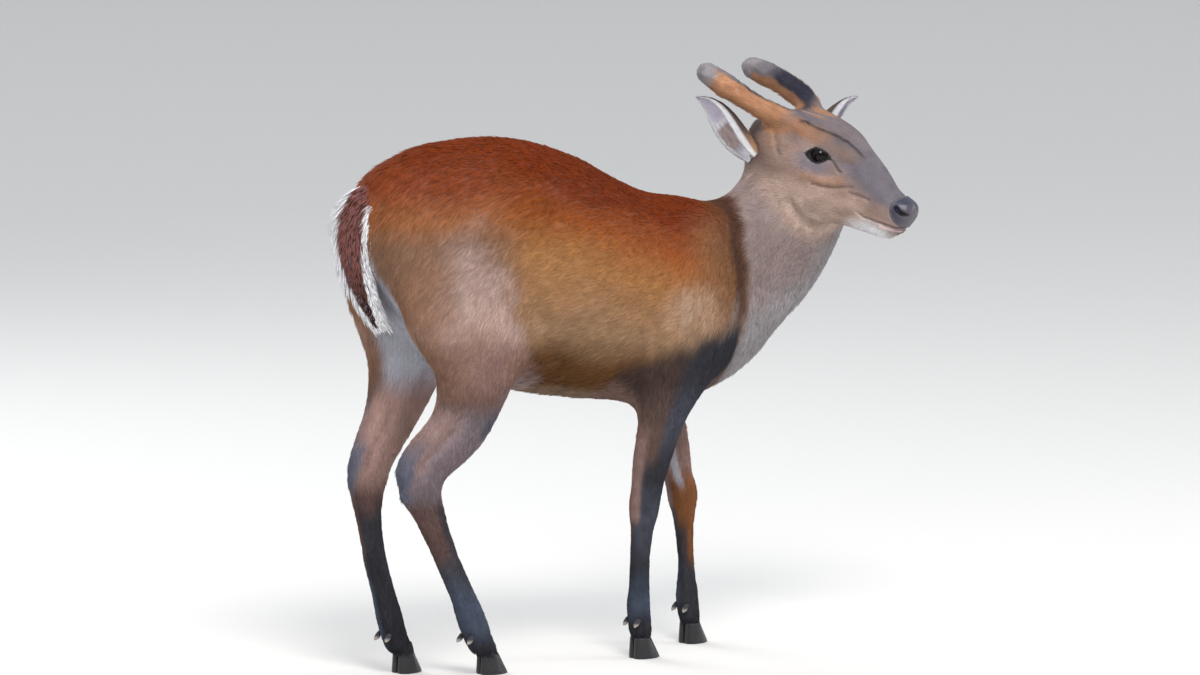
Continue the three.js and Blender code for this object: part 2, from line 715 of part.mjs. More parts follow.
function makeDewclaw(leg, side, clearLeg) {
  const fetlock = leg.lower[leg.lower.length - 3];
  const start = [fetlock[0] - DEWCLAW.back * 0.4, fetlock[1] + side * DEWCLAW.out, DEWCLAW.up + 6];
  const end = add(start, [-DEWCLAW.back * 0.55, side * 2, -DEWCLAW.length]);
  const rows = [0, 0.6, 1].map((t, i) => {
    const size = DEWCLAW.radius * [1, 0.9, 0.3][i];
    return [...mix(start, end, t), size, size];
  });
  return rod(rows, { around: 6 }).subtract(clearLeg);
}

// Head with sockets, lids, mouth line and nostrils.
function inHead(solid) {
  return solid.transform(headMatrix.elements);
}

function makeHead() {
  const field = (p) => body(toWorld(p));
  let solid = solidOf(surface(field, [-105, -68, -105], [150, 68, 75], CELLS.head));
  solid = trim(solid, HEAD_CUT.at, HEAD_CUT.out, -GAP / 2);
  Object.values(SIDES).forEach((side) => {
    const socket = makeEyeball(side, GAP);
    solid = solid.subtract(makeOpening(side)).add(makeLids(side)).subtract(socket).subtract(makeNostril(side));
  });
  return largest(solid.subtract(makeMouthLine()));
}

function makeEyeball(side, extra = 0) {
  const ball = new THREE.SphereGeometry(EYE.radius + extra, 14, 10);
  return solidOfGeometry(ball, new THREE.Matrix4().makeTranslation(EYE.x, side * EYE.y, EYE.z));
}

// Almond outline of the open eye, seen from the side and turned by its tilt.
function almond(count, reach = 1) {
  const tilt = THREE.MathUtils.degToRad(EYELID.tilt);
  return Array.from({ length: count }, (_, i) => {
    const angle = (2 * Math.PI * i) / count;
    const u = reach * EYELID.length * Math.cos(angle);
    const v = reach * EYELID.height * Math.sin(angle) * (1 - 0.3 * Math.cos(angle) ** 2);
    return [u * Math.cos(tilt) - v * Math.sin(tilt), u * Math.sin(tilt) + v * Math.cos(tilt)];
  });
}

// What is cut away in front of the eyeball.
function makeOpening(side) {
  const rings = [[4, 0.85], [30, 1.25]].map(([y, reach]) => almond(16, reach).map(([x, z]) => (
    [EYE.x + x, side * (EYE.y + y), EYE.z + z])));
  const solid = solidOf(skinOver(rings));
  return solid.volume() > 0 ? solid : solidOf(skinOver(rings.reverse()));
}

// Ring of the two lids, lying on the eyeball.
function makeLids(side) {
  const count = 18;
  const ball = EYE.radius + 0.4;
  const rows = almond(count).map(([x, z]) => {
    const flat = Math.hypot(x, z);
    const y = flat < ball ? Math.sqrt(ball * ball - flat * flat) : 0;
    return [EYE.x + x, side * (EYE.y + Math.max(y, EYELID.opening * 0.6)), EYE.z + z];
  });
  const outward = [0, side, 0];
  const rings = rows.map((p, i) => {
    const along = unit(sub(rows[(i + 1) % count], rows[(i + count - 1) % count]));
    const across = unit(cross(outward, along));
    return Array.from({ length: 6 }, (_, k) => {
      const angle = (2 * Math.PI * k) / 6;
      const flat = scale(across, EYELID.radius * Math.cos(angle));
      const tall = scale(cross(along, across), EYELID.radius * Math.sin(angle));
      return add(p, add(flat, tall));
    });
  });
  return ringSolid(rings);
}

// Closed loop of rings as a solid.
function ringSolid(rings) {
  const n = rings[0].length;
  const points = rings.flat();
  const triangles = [];
  rings.forEach((_, r) => {
    const next = (r + 1) % rings.length;
    for (let i = 0; i < n; i += 1) {
      const j = (i + 1) % n;
      triangles.push(r * n + i, r * n + j, next * n + j, r * n + i, next * n + j, next * n + i);
    }
  });
  const solid = solidOf({ points, triangles });
  if (solid.volume() > 0) return solid;
  const flipped = [];
  for (let i = 0; i < triangles.length; i += 3) flipped.push(triangles[i], triangles[i + 2], triangles[i + 1]);
  return solidOf({ points, triangles: flipped });
}

// Comma-shaped nostril.
function makeNostril(side) {
  const { x, y, z } = NOSTRIL;
  return rod([
    [x + 6, side * (y + 2), z - 1, 3.2, 3],
    [x, side * (y + 1), z, 3, 2.8],
    [x - 6, side * y, z + 2, 1.6, 1.6],
  ], { side: [0, 0, 1], around: 8 });
}

// Thin groove of the closed mouth, round the muzzle from corner to corner.
function makeMouthLine() {
  const rim = [[66, 27, -38], [80, 25, -40], [98, 23, -38], [112, 19, -35], [123, 9, -33]];
  const rows = [...mirrored(rim, -1), [125, 0, -33], ...mirrored(rim, 1).reverse()];
  const rings = rows.map(([x, y, z]) => {
    const inner = Math.max(Math.abs(y) - MOUTH.depth, 0.3 * Math.abs(y)) * Math.sign(y);
    const back = Math.abs(y) < 12 ? MOUTH.depth : 0;
    return [[x, y * 1.1, z + 0.9], [x - back, inner, z], [x, y * 1.1, z - 0.9]];
  });
  const solid = solidOf(skinOver(rings));
  return solid.volume() > 0 ? solid : solidOf(skinOver(rings.reverse()));
}

// Value at t on a line through pairs of place and value.
function along(pairs, t) {
  const next = Math.max(pairs.findIndex(([place]) => place >= t), 1);
  const [[a, from], [b, to]] = [pairs[next - 1], pairs[next]];
  return from + ((to - from) * (t - a)) / (b - a);
}

function makeEar({ root, tip, opens, bow }) {
  const axis = sub(tip, root);
  const onward = unit(axis);
  const open = unit(sub(opens, scale(onward, dot(opens, onward))));
  const across = cross(onward, open);
  const rings = Array.from({ length: EAR.rows }, (_, r) => {
    const t = r / (EAR.rows - 1);
    const half = EAR.half * along(EAR.outline, t);
    const wrap = THREE.MathUtils.degToRad(EAR.wrap[0] + (EAR.wrap[1] - EAR.wrap[0]) * t);
    const radius = half / Math.sin(Math.min(wrap, Math.PI / 2));
    const centre = add(add(root, scale(axis, t)), scale(across, bow * Math.sin(Math.PI * t)));
    const sheet = (extra) => Array.from({ length: EAR.across }, (__, k) => {
      const angle = wrap * ((2 * k) / (EAR.across - 1) - 1);
      const r2 = radius + extra;
      const forward = scale(open, radius * 0.35 - r2 * Math.cos(angle));
      return add(centre, add(scale(across, r2 * Math.sin(angle)), forward));
    });
    const wall = EAR.wall * (1.4 - 0.9 * t);
    return [...sheet(0), ...sheet(-wall).reverse()];
  });
  const solid = solidOf(skinOver(rings));
  return solid.volume() > 0 ? solid : solidOf(skinOver(rings.reverse()));
}

// Pedicle and antler in velvet, parted by a plane.
function makeHorns(word, head) {
  const side = SIDES[word];
  const rows = PEDICLES[word];
  const field = limb(rows, { side: [0, 0, 1] });
  const low = [-175, Math.min(...rows.map((r) => r[1])) - 22, 10];
  const high = [25, Math.max(...rows.map((r) => r[1])) + 22, 80];
  const whole = solidOf(surface(field, low, high, CELLS.antler));
  const out = [-1, side * 0.25, 0.1];
  const at = [VELVET_FROM, side * 48, 43];
  const free = whole.subtract(head);
  const pedicle = trim(free, [PEDICLE_FROM, side * 30, 40], [1, 0, 0.25]);
  return {
    pedicle: trim(pedicle, at, out, -GAP / 2),
    antler: trim(free, at, scale(out, -1), -GAP / 2),
  };
}

// Tail with a fringe of pale, flat, overlapping locks down each side.
function makeTail(rump) {
  const rows = smoothRows(TAIL, 3);
  let solid = solidOf(surface(limb(TAIL, { steps: 5 }), [-380, -45, 385], [-280, 45, 585], CELLS.tail));
  Object.values(SIDES).forEach((side) => {
    for (let i = 0; i < FRINGE.count; i += 1) {
      const t = i / (FRINGE.count - 1);
      const row = rows[Math.round(1 + t * (rows.length - 3))];
      const start = [row[0] + 2, side * row[4] * 0.45, row[2] + 12];
      const lie = unit([0.1 + 0.3 * t, side * (FRINGE.flare + (FRINGE.close - FRINGE.flare) * t), -0.95]);
      const stations = [[0, 1, 0.8], [0.45, 1, 1], [0.8, 0.75, 0.7], [1, 0.3, 0.15]].map(([s, thick, wide]) => {
        const p = add(start, scale(lie, s * (FRINGE.length + FRINGE.longer * (1 - t))));
        p[1] += side * 5 * s * s;
        return [...p, FRINGE.thick * thick, FRINGE.half * wide];
      });
      solid = solid.add(rod(stations, { side: [0, side, 0.4], around: 6 }));
    }
  });
  return largest(rump.reduce((rest, piece) => rest.subtract(piece), solid));
}

function build() {
  const torso = largest(makeTorso());
  put('torso', torso, looks.coat);
  const neck = largest(makeNeck());
  put('neck', neck, looks.neck);

  const head = makeHead();
  put('head', inHead(head), looks.face);
  const clearHead = withGap(head);
  const clearNeck = withGap(neck).transform(headInverse.elements);
  Object.entries(SIDES).forEach(([word, side]) => {
    put(`eye_${word}`, inHead(makeEyeball(side)), looks.eye);
    const ear = makeEar(EARS[word]).subtract(clearHead).subtract(clearNeck);
    put(`ear_${word}`, inHead(largest(ear)), looks.face);
    const { pedicle, antler } = makeHorns(word, clearHead);
    put(`pedicle_${word}`, inHead(pedicle), looks.pedicle);
    put(`antler_${word}`, inHead(antler), looks.velvet);
  });

  const behindTail = [torso];
  Object.entries(LEGS).forEach(([name, leg]) => {
    const upper = largest(makeUpperLeg(name, leg));
    if (name.startsWith('hind')) behindTail.push(upper);
    put(`upper_leg_${name}`, upper, looks.coat);
    const lower = largest(makeLowerLeg(leg));
    const clearLower = withGap(lower);
    put(`lower_leg_${name}`, lower, looks.leg);
    Object.entries({ outer: leg.side, inner: -leg.side }).forEach(([word, side]) => {
      put(`hoof_${name}_${word}`, makeClaw(leg, side), looks.horn);
      put(`dewclaw_${name}_${word}`, makeDewclaw(leg, side, clearLower), looks.horn);
    });
  });
  put('tail', makeTail(behindTail.map(withGap)), looks.white);
}

build();

// Stand the animal with the origin at the bottom centre of its box.
const box = new THREE.Box3().setFromObject(animal);
animal.position.set(-(box.min.x + box.max.x) / 2, -(box.min.y + box.max.y) / 2, -box.min.z);

const root = new THREE.Group();
root.add(animal);

export default root;
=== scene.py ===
"""Looks of the standing muntjac: one skin over the solids, a coat of mesh tufts, eyes, antlers and hooves."""

import math

import bmesh
import bpy
import numpy as np
from mathutils import Matrix, Vector
from mathutils.kdtree import KDTree


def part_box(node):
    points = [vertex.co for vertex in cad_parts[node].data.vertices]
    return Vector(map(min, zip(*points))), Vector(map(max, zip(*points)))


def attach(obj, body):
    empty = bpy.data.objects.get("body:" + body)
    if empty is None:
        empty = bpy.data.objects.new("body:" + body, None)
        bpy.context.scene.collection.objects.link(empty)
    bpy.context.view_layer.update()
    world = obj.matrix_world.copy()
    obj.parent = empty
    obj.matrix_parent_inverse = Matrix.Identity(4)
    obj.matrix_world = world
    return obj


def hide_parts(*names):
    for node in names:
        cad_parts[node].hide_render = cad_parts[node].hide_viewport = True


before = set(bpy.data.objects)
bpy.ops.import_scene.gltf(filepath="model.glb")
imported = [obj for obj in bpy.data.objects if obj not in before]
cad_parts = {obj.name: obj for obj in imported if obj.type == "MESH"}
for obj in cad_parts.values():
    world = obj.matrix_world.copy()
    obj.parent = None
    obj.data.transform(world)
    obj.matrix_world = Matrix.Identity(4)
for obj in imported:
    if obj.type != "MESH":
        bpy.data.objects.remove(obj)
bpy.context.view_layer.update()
random = np.random.default_rng(7)
MM = 0.001
SIDEWAYS = np.array([0.0, 1.0, 0.0])

# The head's own frame: origin midway between the eyes, x to the nose, y left, z up, in the design frame.
# The design frame is the row frame before the part was centred. Landmarks are in its millimetres.
HEAD_PLACE = np.array([276.0, -58.0, 569.0])
HEAD_TURN = {"yaw": -60.6, "pitch": -21.3, "roll": -2.2}
EYE = np.array([7.0, 29.5, 8.0])
EYE_RADIUS = 12.5
EYE_INNER = 15.0  # the opening of the eye lies further out than this
SIDES = {"right": -1.0, "left": 1.0}
LEGS = ("hind_right", "hind_left", "fore_right", "fore_left")


def turn_matrix(yaw, pitch, roll):
    """Rotation by yaw, then pitch (nose up), then roll, in degrees."""
    turn = Matrix.Rotation(math.radians(yaw), 3, "Z")
    turn = turn @ Matrix.Rotation(math.radians(-pitch), 3, "Y") @ Matrix.Rotation(math.radians(roll), 3, "X")
    return np.array(turn)


HEAD_AXES = turn_matrix(**HEAD_TURN)


def eye_in_design(side):
    return HEAD_PLACE + HEAD_AXES @ (EYE * (1, side, 1))


def box_middle(node):
    low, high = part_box(node)
    return np.array((low + high) / 2)


# Opening between the lids, as an almond on the eyeball: half length, half height, tilt in degrees.
LID = {"length": 13.0, "height": 7.8, "tilt": 13.0, "radius": 1.1, "opening": 5.4}

# Where the design frame's origin lies in the row frame, in metres.
SHIFT = box_middle("eye_right") - eye_in_design(-1.0) * MM


def to_design(points):
    return (points - SHIFT) / MM


def to_row(points):
    return np.asarray(points, float) * MM + SHIFT


def to_head(design):
    return (design - HEAD_PLACE) @ HEAD_AXES


def from_head(points):
    return np.asarray(points, float) @ HEAD_AXES.T + HEAD_PLACE


# Plain number helpers.
def smooth(low, high, value):
    """0 below low, 1 above high, and a soft step between."""
    t = np.clip((value - low) / (high - low), 0, 1)
    return t * t * (3 - 2 * t)


def unit(vectors):
    return vectors / np.maximum(np.linalg.norm(vectors, axis=-1, keepdims=True), 1e-12)


def mix(a, b, t):
    """Between a and b by t. With one t for each row, a and b are rows of colours or one colour."""
    t = np.asarray(t)[..., None] if np.ndim(t) else t
    return a + (b - a) * t


def plain(tone, count):
    """The same colour for each of a number of places."""
    return np.tile(tone, (count, 1))


def one_side(points):
    """The same places with their mirror half folded over to the left."""
    folded = points.copy()
    folded[:, 1] = np.abs(folded[:, 1])
    return folded


def head_side(points):
    """Points of the row frame in the head's frame, folded to one side."""
    return one_side(to_head(to_design(points)))


def oval(points, middle, half):
    """How far points lie from a middle, as a share of an oval's half sizes."""
    return np.linalg.norm((points - np.array(middle)) / np.array(half), axis=1)


def line_distance(points, line):
    """Distance from points to a broken line, and how far along it the nearest place is, from 0 to 1."""
    line = np.asarray(line, float)
    best = np.full(len(points), np.inf)
    where = np.zeros(len(points))
    steps = np.linalg.norm(np.diff(line, axis=0), axis=1)
    done = 0.0
    for start, end, length in zip(line[:-1], line[1:], steps):
        run = end - start
        t = np.clip((points - start) @ run / max(run @ run, 1e-12), 0, 1)
        away = np.linalg.norm(points - start - t[:, None] * run, axis=1)
        nearer = away < best
        best = np.where(nearer, away, best)
        where = np.where(nearer, (done + t * length) / steps.sum(), where)
        done += length
    return best, where


def noise(points, size, seed=0):
    """Smooth value noise from 0 to 1, with lumps of the given size."""
    p = points / size
    cell = np.floor(p).astype(np.int64)
    f = p - cell
    f = f * f * (3 - 2 * f)
    total = np.zeros(len(points))
    for corner in np.ndindex(2, 2, 2):
        k = cell + corner
        code = (k[:, 0] * 73856093) ^ (k[:, 1] * 19349663) ^ (k[:, 2] * 83492791) ^ (seed * 2654435761)
        code = (code ^ (code >> 13)) * 1274126177
        value = ((code ^ (code >> 16)) & 0xFFFF) / 65535.0
        total += np.prod(np.where(corner, f, 1 - f), axis=1) * value
    return total


def colour(red, green, blue):
    """A colour given as on a screen, 0 to 255, as the linear values that materials use."""
    v = np.array([red, green, blue]) / 255.0
    return np.where(v <= 0.04045, v / 12.92, ((v + 0.055) / 1.055) ** 2.4)


# Colours of the coat, named for where they are.
BACK = colour(106, 42, 12)
RUMP = colour(122, 58, 30)
RUST = colour(138, 72, 30)
GOLD = colour(156, 108, 64)
FLANK_LOW = colour(154, 122, 94)
BELLY_EDGE = colour(98, 66, 38)
BELLY = colour(150, 132, 114)
HAUNCH_RED = colour(142, 90, 56)
SHEEN_TOP = colour(182, 156, 147)
THIGH = colour(124, 98, 92)
HAUNCH_BACK = colour(138, 103, 82)
KNEE = colour(106, 80, 72)
SHOULDER = colour(132, 92, 62)
SHOULDER_LOW = colour(164, 136, 116)
NECK_GREY = colour(137, 121, 118)
THROAT = colour(158, 154, 157)
COLLAR = colour(80, 54, 44)
SLATE = colour(50, 50, 56)
SLATE_BLUE = colour(70, 78, 94)
LEG_PURPLE = colour(68, 70, 80)
LEG_MAUVE = colour(120, 108, 113)
LEG_PINK = colour(146, 118, 111)
LEG_BROWN = colour(98, 76, 67)
LEG_ORANGE = colour(122, 78, 48)
SHANK = colour(122, 108, 113)
LEG_MAROON = colour(98, 76, 72)
WHITE = colour(238, 238, 242)
GREY_WHITE = colour(176, 176, 186)
MAROON = colour(120, 78, 74)
MAROON_DARK = colour(58, 34, 30)
FACE_SLATE = colour(110, 104, 112)
FACE_LILAC = colour(132, 124, 134)
CHEEK = colour(160, 135, 124)
JAW = colour(184, 160, 148)
ORANGE = colour(174, 127, 96)
BLACK = colour(22, 19, 22)
FOREHEAD = colour(120, 108, 108)
CREST = colour(52, 52, 64)
NOSE = colour(50, 51, 66)
LIP = colour(208, 168, 174)
EAR_INSIDE = colour(208, 203, 220)
EAR_LOBE = colour(176, 158, 156)
EAR_BACK = colour(84, 70, 66)
EAR_ROOT = colour(156, 122, 98)
VELVET = colour(144, 138, 142)
SPUR_TIP = colour(150, 142, 136)

# Trunk along its length: x, top of the back, bottom of the belly.
TRUNK = np.array([
    [-302, 564, 330],
    [-235, 611, 340],
    [-175, 614, 330],
    [-105, 598, 318],
    [-30, 563, 303],
    [45, 535, 295],
    [105, 518, 297],
    [190, 508, 330],
], float)

# Legs from the ground up: height, x, y, half depth and half width.
LEG_ROWS = {
    "hind_right": [
        (20, -177, -31, 13, 14), (62, -200, -33, 17, 15), (95, -216, -36, 15, 12), (130, -235, -39, 15, 11),
        (165, -253, -42, 16, 12), (198, -268, -44, 21, 14), (222, -280, -46, 29, 16),
        (255, -270, -51, 33, 19), (290, -234, -58, 36, 25), (335, -217, -61, 46, 31),
        (385, -212, -62, 70, 35), (450, -232, -58, 84, 37),
    ],
    "hind_left": [
        (19, -249, 32, 13, 14), (62, -267, 35, 15, 14), (95, -275, 37, 14, 12), (130, -284, 39, 14, 11),
        (165, -289, 41, 14, 12), (198, -292, 43, 19, 14), (222, -292, 44, 26, 16), (255, -279, 48, 29, 18),
        (290, -255, 53, 33, 24), (335, -234, 57, 44, 30), (385, -222, 60, 64, 34), (450, -230, 58, 80, 37),
    ],
    "fore_right": [
        (20, 37, -32, 12, 13), (60, 31, -33, 14, 13), (85, 31, -34, 12, 11), (120, 31, -36, 12, 11),
        (155, 33, -38, 14, 13), (178, 34, -39, 17, 15), (240, 42, -47, 25, 18), (285, 50, -54, 31, 23),
        (330, 62, -62, 42, 28), (385, 78, -61, 54, 29), (440, 75, -54, 52, 26),
    ],
    "fore_left": [
        (20, 153, 32, 12, 13), (60, 147, 33, 13, 13), (85, 147, 34, 10, 10), (120, 146, 36, 10, 10),
        (155, 146, 38, 14, 13), (178, 145, 39, 18, 15), (240, 132, 47, 25, 18), (285, 122, 54, 31, 23),
        (330, 112, 62, 42, 28), (385, 105, 61, 54, 29), (440, 92, 54, 52, 26),
    ],
}


def leg_place(leg, p):
    """How far forward and how far outward points lie in a leg, from -1 to 1 across it."""
    height, x, y, depth, width = np.array(LEG_ROWS[leg], float).T
    z = p[:, 2]
    forward = (p[:, 0] - np.interp(z, height, x)) / np.interp(z, height, depth)
    outward = (p[:, 1] - np.interp(z, height, y)) / np.interp(z, height, width)
    return forward, outward * SIDES[leg.split("_")[1]]


def in_leg(leg, p):
    """Points on the leg's own side and end of the body."""
    kind, word = leg.split("_")
    own_end = p[:, 0] < -110 if kind == "hind" else p[:, 0] > -20
    return own_end & (p[:, 1] * SIDES[word] > 0)


def ramp(values, *stops):
    """Colours between stops, each a value and a colour."""
    places = [place for place, _ in stops]
    shades = np.array([shade for _, shade in stops])
    return np.stack([np.interp(values, places, shades[:, k]) for k in range(3)], axis=1)


def near(points, centre, radii):
    """1 at a centre, falling softly to 0 at the given radii."""
    return 1 - smooth(0.25, 1.0, oval(points, centre, radii))


def along_line(points, line, width, soft):
    """1 within a width of a line, falling to 0 over a soft edge."""
    away, _ = line_distance(points, line)
    return 1 - smooth(width, width + soft, away)


def trunk_colour(p, normal):
    """Red-brown back over a golden flank, with a dark edge under the belly, and a brown haunch with a painted
    mauve sheen.
    """
    top = np.interp(p[:, 0], TRUNK[:, 0], TRUNK[:, 1])
    bottom = np.interp(p[:, 0], TRUNK[:, 0], TRUNK[:, 2])
    wave = noise(p, 60.0, 1) - 0.5
    share = (p[:, 2] - bottom) / (top - bottom) + 0.10 * wave
    tone = ramp(share, (0.0, BELLY_EDGE * 0.8), (0.13, BELLY_EDGE), (0.28, FLANK_LOW), (0.55, GOLD),
                (0.74, RUST), (0.9, BACK), (1.0, BACK * 0.92))
    z = p[:, 2] + 18 * wave + 0.25 * np.maximum(p[:, 0] + 200, 0)
    tone = mix(tone, ramp(z, *HAUNCH_STOPS), smooth(-135, -215, p[:, 0]))
    # painted sheen: the haunch's pale mauve sheen, painted into the coat's colour
    tone = mix(tone, ramp(p[:, 2], *SHEEN_STOPS), haunch_sheen(p) * 0.9)
    under = smooth(-0.75, -0.95, normal[:, 2]) * smooth(60, 30, np.abs(p[:, 1]))
    return mix(tone, BELLY * 0.8, under * 0.6)


# Colours of the haunch and of the painted sheen on it, by height.
HAUNCH_STOPS = [
    (300, KNEE), (345, HAUNCH_BACK * 0.8), (400, HAUNCH_BACK * 1.08), (450, HAUNCH_BACK * 0.95),
    (500, HAUNCH_BACK * 0.82), (528, HAUNCH_RED), (565, RUMP), (605, BACK),
]
SHEEN_STOPS = [
    (325, THIGH * 1.1), (375, THIGH * 1.3), (408, SHEEN_TOP), (460, SHEEN_TOP * 0.8), (500, SHEEN_TOP * 0.7),
]
# Painted mauve sheen on the haunch: height, where it starts behind and where it ends in front.
SHEEN = np.array([
    (325, -232, -120), (356, -256, -140), (380, -270, -158), (405, -280, -172), (454, -272, -192),
    (500, -256, -206), (540, -245, -212),
], float)


def haunch_sheen(p):
    """1 where the painted sheen lies, in the middle of the haunch, with a ragged edge."""
    wave = 26 * (noise(p, 22.0, 9) - 0.5)
    start, end = (np.interp(p[:, 2], SHEEN[:, 0], SHEEN[:, k]) for k in (1, 2))
    x = p[:, 0] + wave
    along_body = smooth(start - 34, start + 30, x) * smooth(end + 20, end - 18, x)
    patchy = 0.7 + 0.3 * smooth(0.3, 0.6, noise(p, 30.0, 10))
    return along_body * smooth(535, 492, p[:, 2] + wave) * smooth(300, 335, p[:, 2]) * patchy


def side_marks(tone, p):
    """Browner shoulder with a painted pale sheen low on it, the same on both sides."""
    q = one_side(p)
    tone = mix(tone, SHOULDER, near(q, (120, 80, 450), (75, 80, 95)) * 0.8)
    # painted sheen: pale tan low on the shoulder
    return mix(tone, SHOULDER_LOW, near(q, (70, 92, 405), (62, 60, 46)) * (0.5 + 0.5 * noise(q, 14.0, 3)))


# Colours down the outer and the inner face of the legs, by height. The slate blue low on the outer faces is a
# painted sheen.
LEG_STOPS = {
    "hind_outer": [
        # the slate blue from 58 to 90 is a painted sheen
        (0, SLATE * 0.8), (35, SLATE), (58, SLATE_BLUE), (90, SLATE_BLUE), (120, LEG_PURPLE),
        (148, LEG_MAROON * 0.8), (175, LEG_MAROON * 0.95), (198, LEG_MAROON), (216, LEG_MAUVE * 0.85),
        (245, SHANK), (275, SHANK), (300, LEG_MAUVE * 0.85), (328, KNEE * 0.85), (350, THIGH),
    ],
    "hind_inner": [
        (0, SLATE * 0.6), (120, SLATE * 0.75), (175, SLATE * 0.95), (205, LEG_MAROON * 0.75),
        (232, LEG_PINK * 0.9), (262, LEG_PINK), (315, LEG_PINK * 1.25), (352, GREY_WHITE),
        (392, GREY_WHITE * 0.85), (470, GREY_WHITE),
    ],
    "fore_outer": [
        # the slate blue at 62 is a painted sheen
        (0, SLATE * 0.6), (40, SLATE * 0.9), (62, SLATE_BLUE), (82, SLATE_BLUE * 0.6), (112, SLATE),
        (145, LEG_PURPLE), (178, LEG_PURPLE * 0.95), (205, SLATE), (235, SLATE * 1.15),
        (265, LEG_PURPLE * 1.15), (300, LEG_PURPLE), (330, SLATE), (400, SLATE * 0.95),
    ],
    "fore_back": [(240, LEG_BROWN), (265, LEG_BROWN), (325, LEG_BROWN * 0.45), (345, LEG_BROWN * 0.5)],
    "fore_inner": [
        (0, SLATE * 0.7), (85, SLATE), (108, LEG_ORANGE * 0.8), (150, LEG_ORANGE), (192, LEG_ORANGE * 1.1),
        (212, LEG_PINK * 0.95), (260, LEG_PINK * 0.8), (340, LEG_BROWN), (400, SHOULDER_LOW * 0.8),
    ],
}
# Patches on the legs: colour, strength, where it comes in from front to back, and the four heights over which
# it comes and goes.
HIND_OUTER_PATCHES = [
    (LEG_PINK * 0.95, 0.7, (-0.1, -0.6), (232, 255, 295, 325)),
    (LEG_PURPLE * 1.3, 0.7, (0.2, 0.7), (270, 290, 300, 318)),
    (LEG_MAUVE, 0.7, (0.35, 0.75), (300, 322, 338, 356)),
]
HIND_EDGES = [
    (SLATE_BLUE * 1.3, 0.8, (-0.62, -0.92), (205, 222, 250, 285)),
    (SLATE * 1.15, 0.85, (-0.1, 0.5), (96, 120, 194, 214)),
]
FORE_OUTER_PATCHES = [(LEG_PINK, 0.8, (-0.62, -0.9), (155, 170, 250, 290))]


def leg_patches(tone, forward, z, patches):
    for shade, strength, (start, end), (low, full, fade, high) in patches:
        share = smooth(start, end, forward) * smooth(low, full, z) * smooth(high, fade, z)
        tone = mix(tone, shade, share * strength)
    return tone


def hind_leg_colour(z, forward, outward):
    """Mauve shank, maroon cannon and slate foot with a painted blue sheen above it, with a paler inner face
    and a blue back edge to the hock.
    """
    outer = leg_patches(ramp(z, *LEG_STOPS["hind_outer"]), forward, z, HIND_OUTER_PATCHES)
    own = mix(outer, ramp(z, *LEG_STOPS["hind_inner"]), smooth(0.1, -0.45, outward))
    return leg_patches(own, forward, z, HIND_EDGES)


def fore_leg_colour(z, forward, outward):
    """Near-black outer face with a painted blue sheen low down, and an inner face that is orange in front
    with a pale stripe.
    """
    brown = smooth(0.05, -0.5, forward) * smooth(215, 250, z)
    outer = mix(ramp(z, *LEG_STOPS["fore_outer"]), ramp(z, *LEG_STOPS["fore_back"]), brown * 0.9)
    outer = leg_patches(outer, forward, z, FORE_OUTER_PATCHES)
    inner = ramp(z, *LEG_STOPS["fore_inner"])
    inner = mix(inner, SLATE, smooth(0.0, -0.45, forward) * smooth(150, 125, z) * 0.9)
    stripe = smooth(0.3, 0.1, np.abs(forward + 0.4)) * smooth(180, 200, z) * smooth(300, 245, z)
    inner = mix(inner, GREY_WHITE * 1.1, stripe * 0.85)
    return mix(outer, inner, smooth(0.05, -0.4, outward))


# Where the forelegs' dark begins: x and height.
DARK_TOP = np.array([(-20, 330), (7, 346), (30, 357), (74, 367), (116, 377), (150, 386)], float)


def leg_colour(tone, p):
    """Legs darken downwards to slate, each face in its own way."""
    z = p[:, 2]
    for leg in LEGS:
        forward, outward = leg_place(leg, p)
        wave = 12 * (noise(p, 16.0, 8) - 0.5)
        if leg.startswith("hind"):
            own = hind_leg_colour(z + wave, forward, outward)
            reach = smooth(350, 300, z)
            reach = np.maximum(reach, smooth(475, 430, z) * smooth(-0.25, -0.7, outward) * (p[:, 0] < -190))
        else:
            own = fore_leg_colour(z + wave, forward, outward)
            edge = np.interp(p[:, 0], DARK_TOP[:, 0], DARK_TOP[:, 1])
            reach = smooth(20, -12, z + 1.3 * wave - edge) * smooth(150, 138, p[:, 0])
            reach = np.maximum(reach, smooth(330, 300, z))
        tone = mix(tone, own, reach * in_leg(leg, p))
    return tone


# Where the neck starts: heights and the x there. Then the colours of its front, by height: pale low down, and
# darker up under the jaw with painted shade.
NECK_START = ([370, 475, 525], [150, 156, 178])
THROAT_STOPS = [(350, THROAT * 1.05), (400, THROAT), (470, THROAT * 0.75), (520, THROAT * 0.6)]


def neck_colour(tone, p, normal):
    """Grey neck in front of a dark collar line, paler down the throat, with painted shade high on the throat
    under the jaw and in bands along the neck's folds.
    """
    forward = p[:, 0] - np.interp(p[:, 2], *NECK_START)
    wave = 10 * (noise(p, 30.0, 5) - 0.5)
    on_neck = smooth(-2, 16, forward + wave)
    tone = mix(tone, SHOULDER * 0.55, smooth(-66, -16, forward) * smooth(330, 380, p[:, 2]) * 0.7)
    tone = mix(tone, NECK_GREY, on_neck)
    collar = (1 - smooth(5, 20, np.abs(forward + 6 + wave))) * smooth(370, 420, p[:, 2])
    tone = mix(tone, COLLAR * 0.8, collar * 0.9)
    # painted shade: darker bands along folds of the neck's skin near its base
    fold_shade = 1 - smooth(0.05, 0.5, np.abs(np.sin((forward + 0.5 * wave) * 0.105)))
    tone = mix(tone, NECK_GREY * 0.7, fold_shade * on_neck * smooth(60, 20, forward) * 0.4)
    front = smooth(0.05, 0.75, normal @ unit(np.array([0.78, 0.0, -0.62])))
    # painted shade: the throat darkens upwards into the shadow under the jaw
    pale = ramp(p[:, 2], *THROAT_STOPS)
    tone = mix(tone, pale, on_neck * front * 0.9)
    chest = smooth(70, 120, p[:, 0]) * front * smooth(440, 390, p[:, 2])
    return mix(tone, THROAT * 0.9, chest * 0.85)


